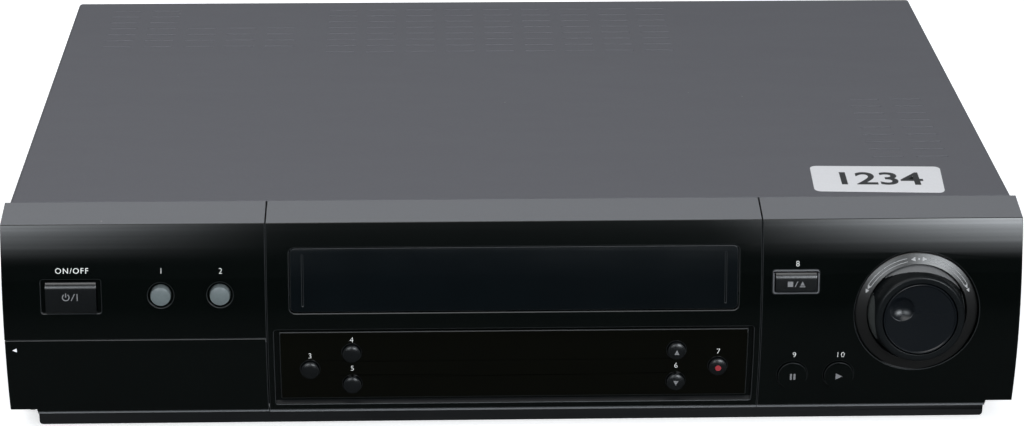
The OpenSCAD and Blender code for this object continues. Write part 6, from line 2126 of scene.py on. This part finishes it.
@dataclass
class Studio:
    """The floor, the lights, the room and the camera.

    Attributes:
        eye: Where the camera stands, in metres.
        yaw: How far it is turned, in degrees.
        pitch: How far it looks down.
        roll: How far it leans.
        lens: Its focal length in millimetres, on a 36 mm frame.
        top_power: Power of the soft box, in watts.
        ceiling: Brightness of the ceiling.
        wall: Brightness of the wall behind.
        right_panel: Brightness of the panel in front on the right.
        left_panel: Brightness of the panel in front on the left.
        middle: Brightness between the two panels.
        dim: Brightness of the rest of the room.
        fade: How softly the panels fade at their sides.
        right_edge: Bearings, in radians, between which the right panel fades in.
        left_edge: The same for the left panel.
        low_edge: Heights, as sines, between which the panels' lower ends fade in.
        climb: Heights, as sines, between which the panels grow brighter.
        streaks: How closely the streaks in the panels lie.
    """

    eye: Vector = field(default_factory=lambda: Vector((-0.039178, -1.237134, 0.552387)))
    yaw: float = 1.988
    pitch: float = 22.396
    roll: float = 0.328
    lens: float = 98.4375
    top_power: float = 4.45
    ceiling: float = 0.14
    wall: float = 0.5
    right_panel: float = 12.6
    left_panel: float = 5.6
    middle: float = 0.12
    dim: float = 0.02
    fade: float = 1.6
    right_edge: tuple[float, float] = (0.106, 0.214)
    left_edge: tuple[float, float] = (-0.050, -0.160)
    low_edge: tuple[float, float] = (0.070, 0.130)
    climb: tuple[float, float] = (0.10, 0.31)
    streaks: float = 48.0

    def build_camera(self) -> None:
        """Places the camera as in the photograph."""
        yaw, pitch, roll = (math.radians(a) for a in (self.yaw, self.pitch, self.roll))
        ahead = Vector((math.sin(yaw) * math.cos(pitch), math.cos(yaw) * math.cos(pitch), -math.sin(pitch)))
        right = Vector((math.cos(yaw), -math.sin(yaw), 0.0))
        up = right.cross(ahead)
        right, up = (right * math.cos(roll) + up * math.sin(roll),
                     up * math.cos(roll) - right * math.sin(roll))
        data = bpy.data.cameras.new("camera")
        data.lens = self.lens
        data.sensor_width = 36.0
        data.clip_start = 0.01
        data.clip_end = 50.0
        camera = bpy.data.objects.new("camera", data)
        turn = Matrix((right, up, -ahead)).transposed().to_4x4()
        camera.matrix_world = Matrix.Translation(self.eye) @ turn
        bpy.context.scene.collection.objects.link(camera)
        bpy.context.scene.camera = camera

    def floor_finish(self) -> Material:
        """Makes the pale floor, which gives back less light to what shines.

        Returns:
            The floor's material.
        """
        material = bpy.data.materials.new("pale_floor")
        material.use_nodes = True
        tools = Tree(material.node_tree)
        shader = material.node_tree.nodes["Principled BSDF"]
        path = tools.add("LightPath")
        grain = tools.noise(tools.add("TexCoord").outputs["Object"], 9.0, 2.0)
        pale = tools.mix(grain, (0.86, 0.86, 0.86, 1), (0.90, 0.90, 0.90, 1))
        spot = tools.add("SeparateXYZ", {0: tools.add("TexCoord").outputs["Object"]}).outputs[1]
        near = tools.ranged(spot, -0.45, -0.22)
        seen = tools.mix(near, (0.008, 0.008, 0.008, 1), (0.06, 0.06, 0.06, 1))
        tone = tools.mix(path.outputs["Is Glossy Ray"], pale, seen)
        tools.link(tone, shader.inputs["Base Color"])
        tools.link(tools.times(path.outputs["Is Camera Ray"], 0.62), shader.inputs["Emission Strength"])
        shader.inputs["Emission Color"].default_value = (1.0, 1.0, 1.0, 1.0)
        shader.inputs["Roughness"].default_value = 0.9
        shader.inputs["Specular IOR Level"].default_value = 0.0
        return material

    def build_floor(self) -> None:
        """Lays the floor."""
        mesh = bmesh.new()
        bmesh.ops.create_grid(mesh, x_segments=8, y_segments=8, size=6.0)
        data = bpy.data.meshes.new("floor")
        mesh.to_mesh(data)
        mesh.free()
        data.materials.append(self.floor_finish())
        floor = bpy.data.objects.new("floor", data)
        bpy.context.scene.collection.objects.link(floor)

    def area(self, name: str, at: Vector, aim: Vector, size: tuple[float, float], power: float) -> None:
        """Places a soft box.

        Args:
            name: The light's name.
            at: Where it stands, in metres.
            aim: What it looks at.
            size: Its width and height.
            power: Its power in watts.
        """
        data = bpy.data.lights.new(name, "AREA")
        data.shape = "RECTANGLE"
        data.size, data.size_y = size
        data.energy = power
        light = bpy.data.objects.new(name, data)
        turn = (Vector(at) - Vector(aim)).to_track_quat("Z", "Y")
        light.matrix_world = Matrix.Translation(at) @ turn.to_matrix().to_4x4()
        bpy.context.scene.collection.objects.link(light)

    def build_lights(self) -> None:
        """Places the soft box and the room's soft light."""
        self.area("top_box", Vector((-0.2, -0.42, 0.9)), Vector((-0.08, -0.20, 0.08)),
                  (1.2, 0.56), self.top_power)
        self.build_room()
        bpy.context.scene.view_settings.view_transform = "Standard"

    def side_panel(self, tools: Tree, side: Socket, near: tuple[float, float], far: tuple[float, float],
                   brightness: float) -> Socket:
        """Makes the brightness of one soft panel in front.

        Args:
            tools: Adds the nodes.
            side: The bearing, in radians from straight ahead.
            near: Bearings between which the panel fades in.
            far: Bearings between which it fades out.
            brightness: Its full brightness.

        Returns:
            The panel's brightness at each bearing.
        """
        span = tools.times(tools.ranged(side, *near), tools.ranged(side, *far, 1.0, 0.0))
        return tools.times(tools.maths("POWER", span, self.fade), brightness)

    def build_room(self) -> None:
        """Lights the room: a pale ceiling, a bright wall behind and two soft panels in front."""
        world = bpy.data.worlds.new("room")
        world.use_nodes = True
        tools = Tree(world.node_tree)
        back = world.node_tree.nodes["Background"]
        way = tools.add("TexCoord").outputs["Generated"]
        split = tools.add("SeparateXYZ", {0: way})
        across, ahead, rise = (split.outputs[i] for i in range(3))
        side = tools.maths("ARCTAN2", across, tools.times(ahead, -1.0))
        ceiling = tools.ranged(rise, 0.42, 0.95, 0.0, self.ceiling)
        wall = tools.times(tools.ranged(ahead, 0.15, 0.6), tools.ranged(rise, 0.20, 0.60, 0.4, 1.0),
                           tools.ranged(rise, 0.0, 0.1), self.wall)
        streaks = tools.add("CombineXYZ", {2: tools.times(rise, self.streaks)}).outputs[0]
        streak = tools.ranged(tools.noise(streaks, 1.0, 3.0), 0.3, 0.7, 0.45, 1.50)
        low = tools.ranged(rise, *self.low_edge)
        ramp = tools.maths("POWER", tools.ranged(rise, *self.climb, 0.16, 1.0), 1.7)
        band = tools.times(low, ramp, tools.ranged(rise, 0.40, 0.60, 1.0, 0.0), streak)
        right = self.side_panel(tools, side, self.right_edge, (0.6, 1.2), self.right_panel)
        left = self.side_panel(tools, side, self.left_edge, (-0.6, -1.2), self.left_panel)
        faint = tools.maths("ADD", left, self.middle)
        panels = tools.times(tools.maths("ADD", faint, right), band)
        total = tools.maths("ADD", tools.maths("ADD", ceiling, wall), tools.maths("ADD", panels, self.dim))
        back.inputs["Color"].default_value = (0.90, 0.95, 1.0, 1.0)
        tools.link(total, back.inputs["Strength"])
        bpy.context.scene.world = world

    def build(self) -> None:
        """Builds the whole studio."""
        self.build_camera()
        self.build_floor()
        self.build_lights()


def main() -> None:
    """Builds the recorder's looks and its studio in order."""
    logging.basicConfig(level=logging.INFO, format="%(name)s %(message)s")
    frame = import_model()
    palette = Palette()
    Studio().build()
    printer = Printer(palette)
    Carried(palette).build(frame["nodes"])
    panel = FrontPanel(palette)
    panel.build()
    buttons = Buttons(palette, panel)
    buttons.build()
    Knob(palette, panel).build(printer)
    PanelMarks(printer, panel, buttons).build()
    Sockets(palette, panel).build()
    Case(palette, printer).build()


if __name__ == "__main__":
    main()
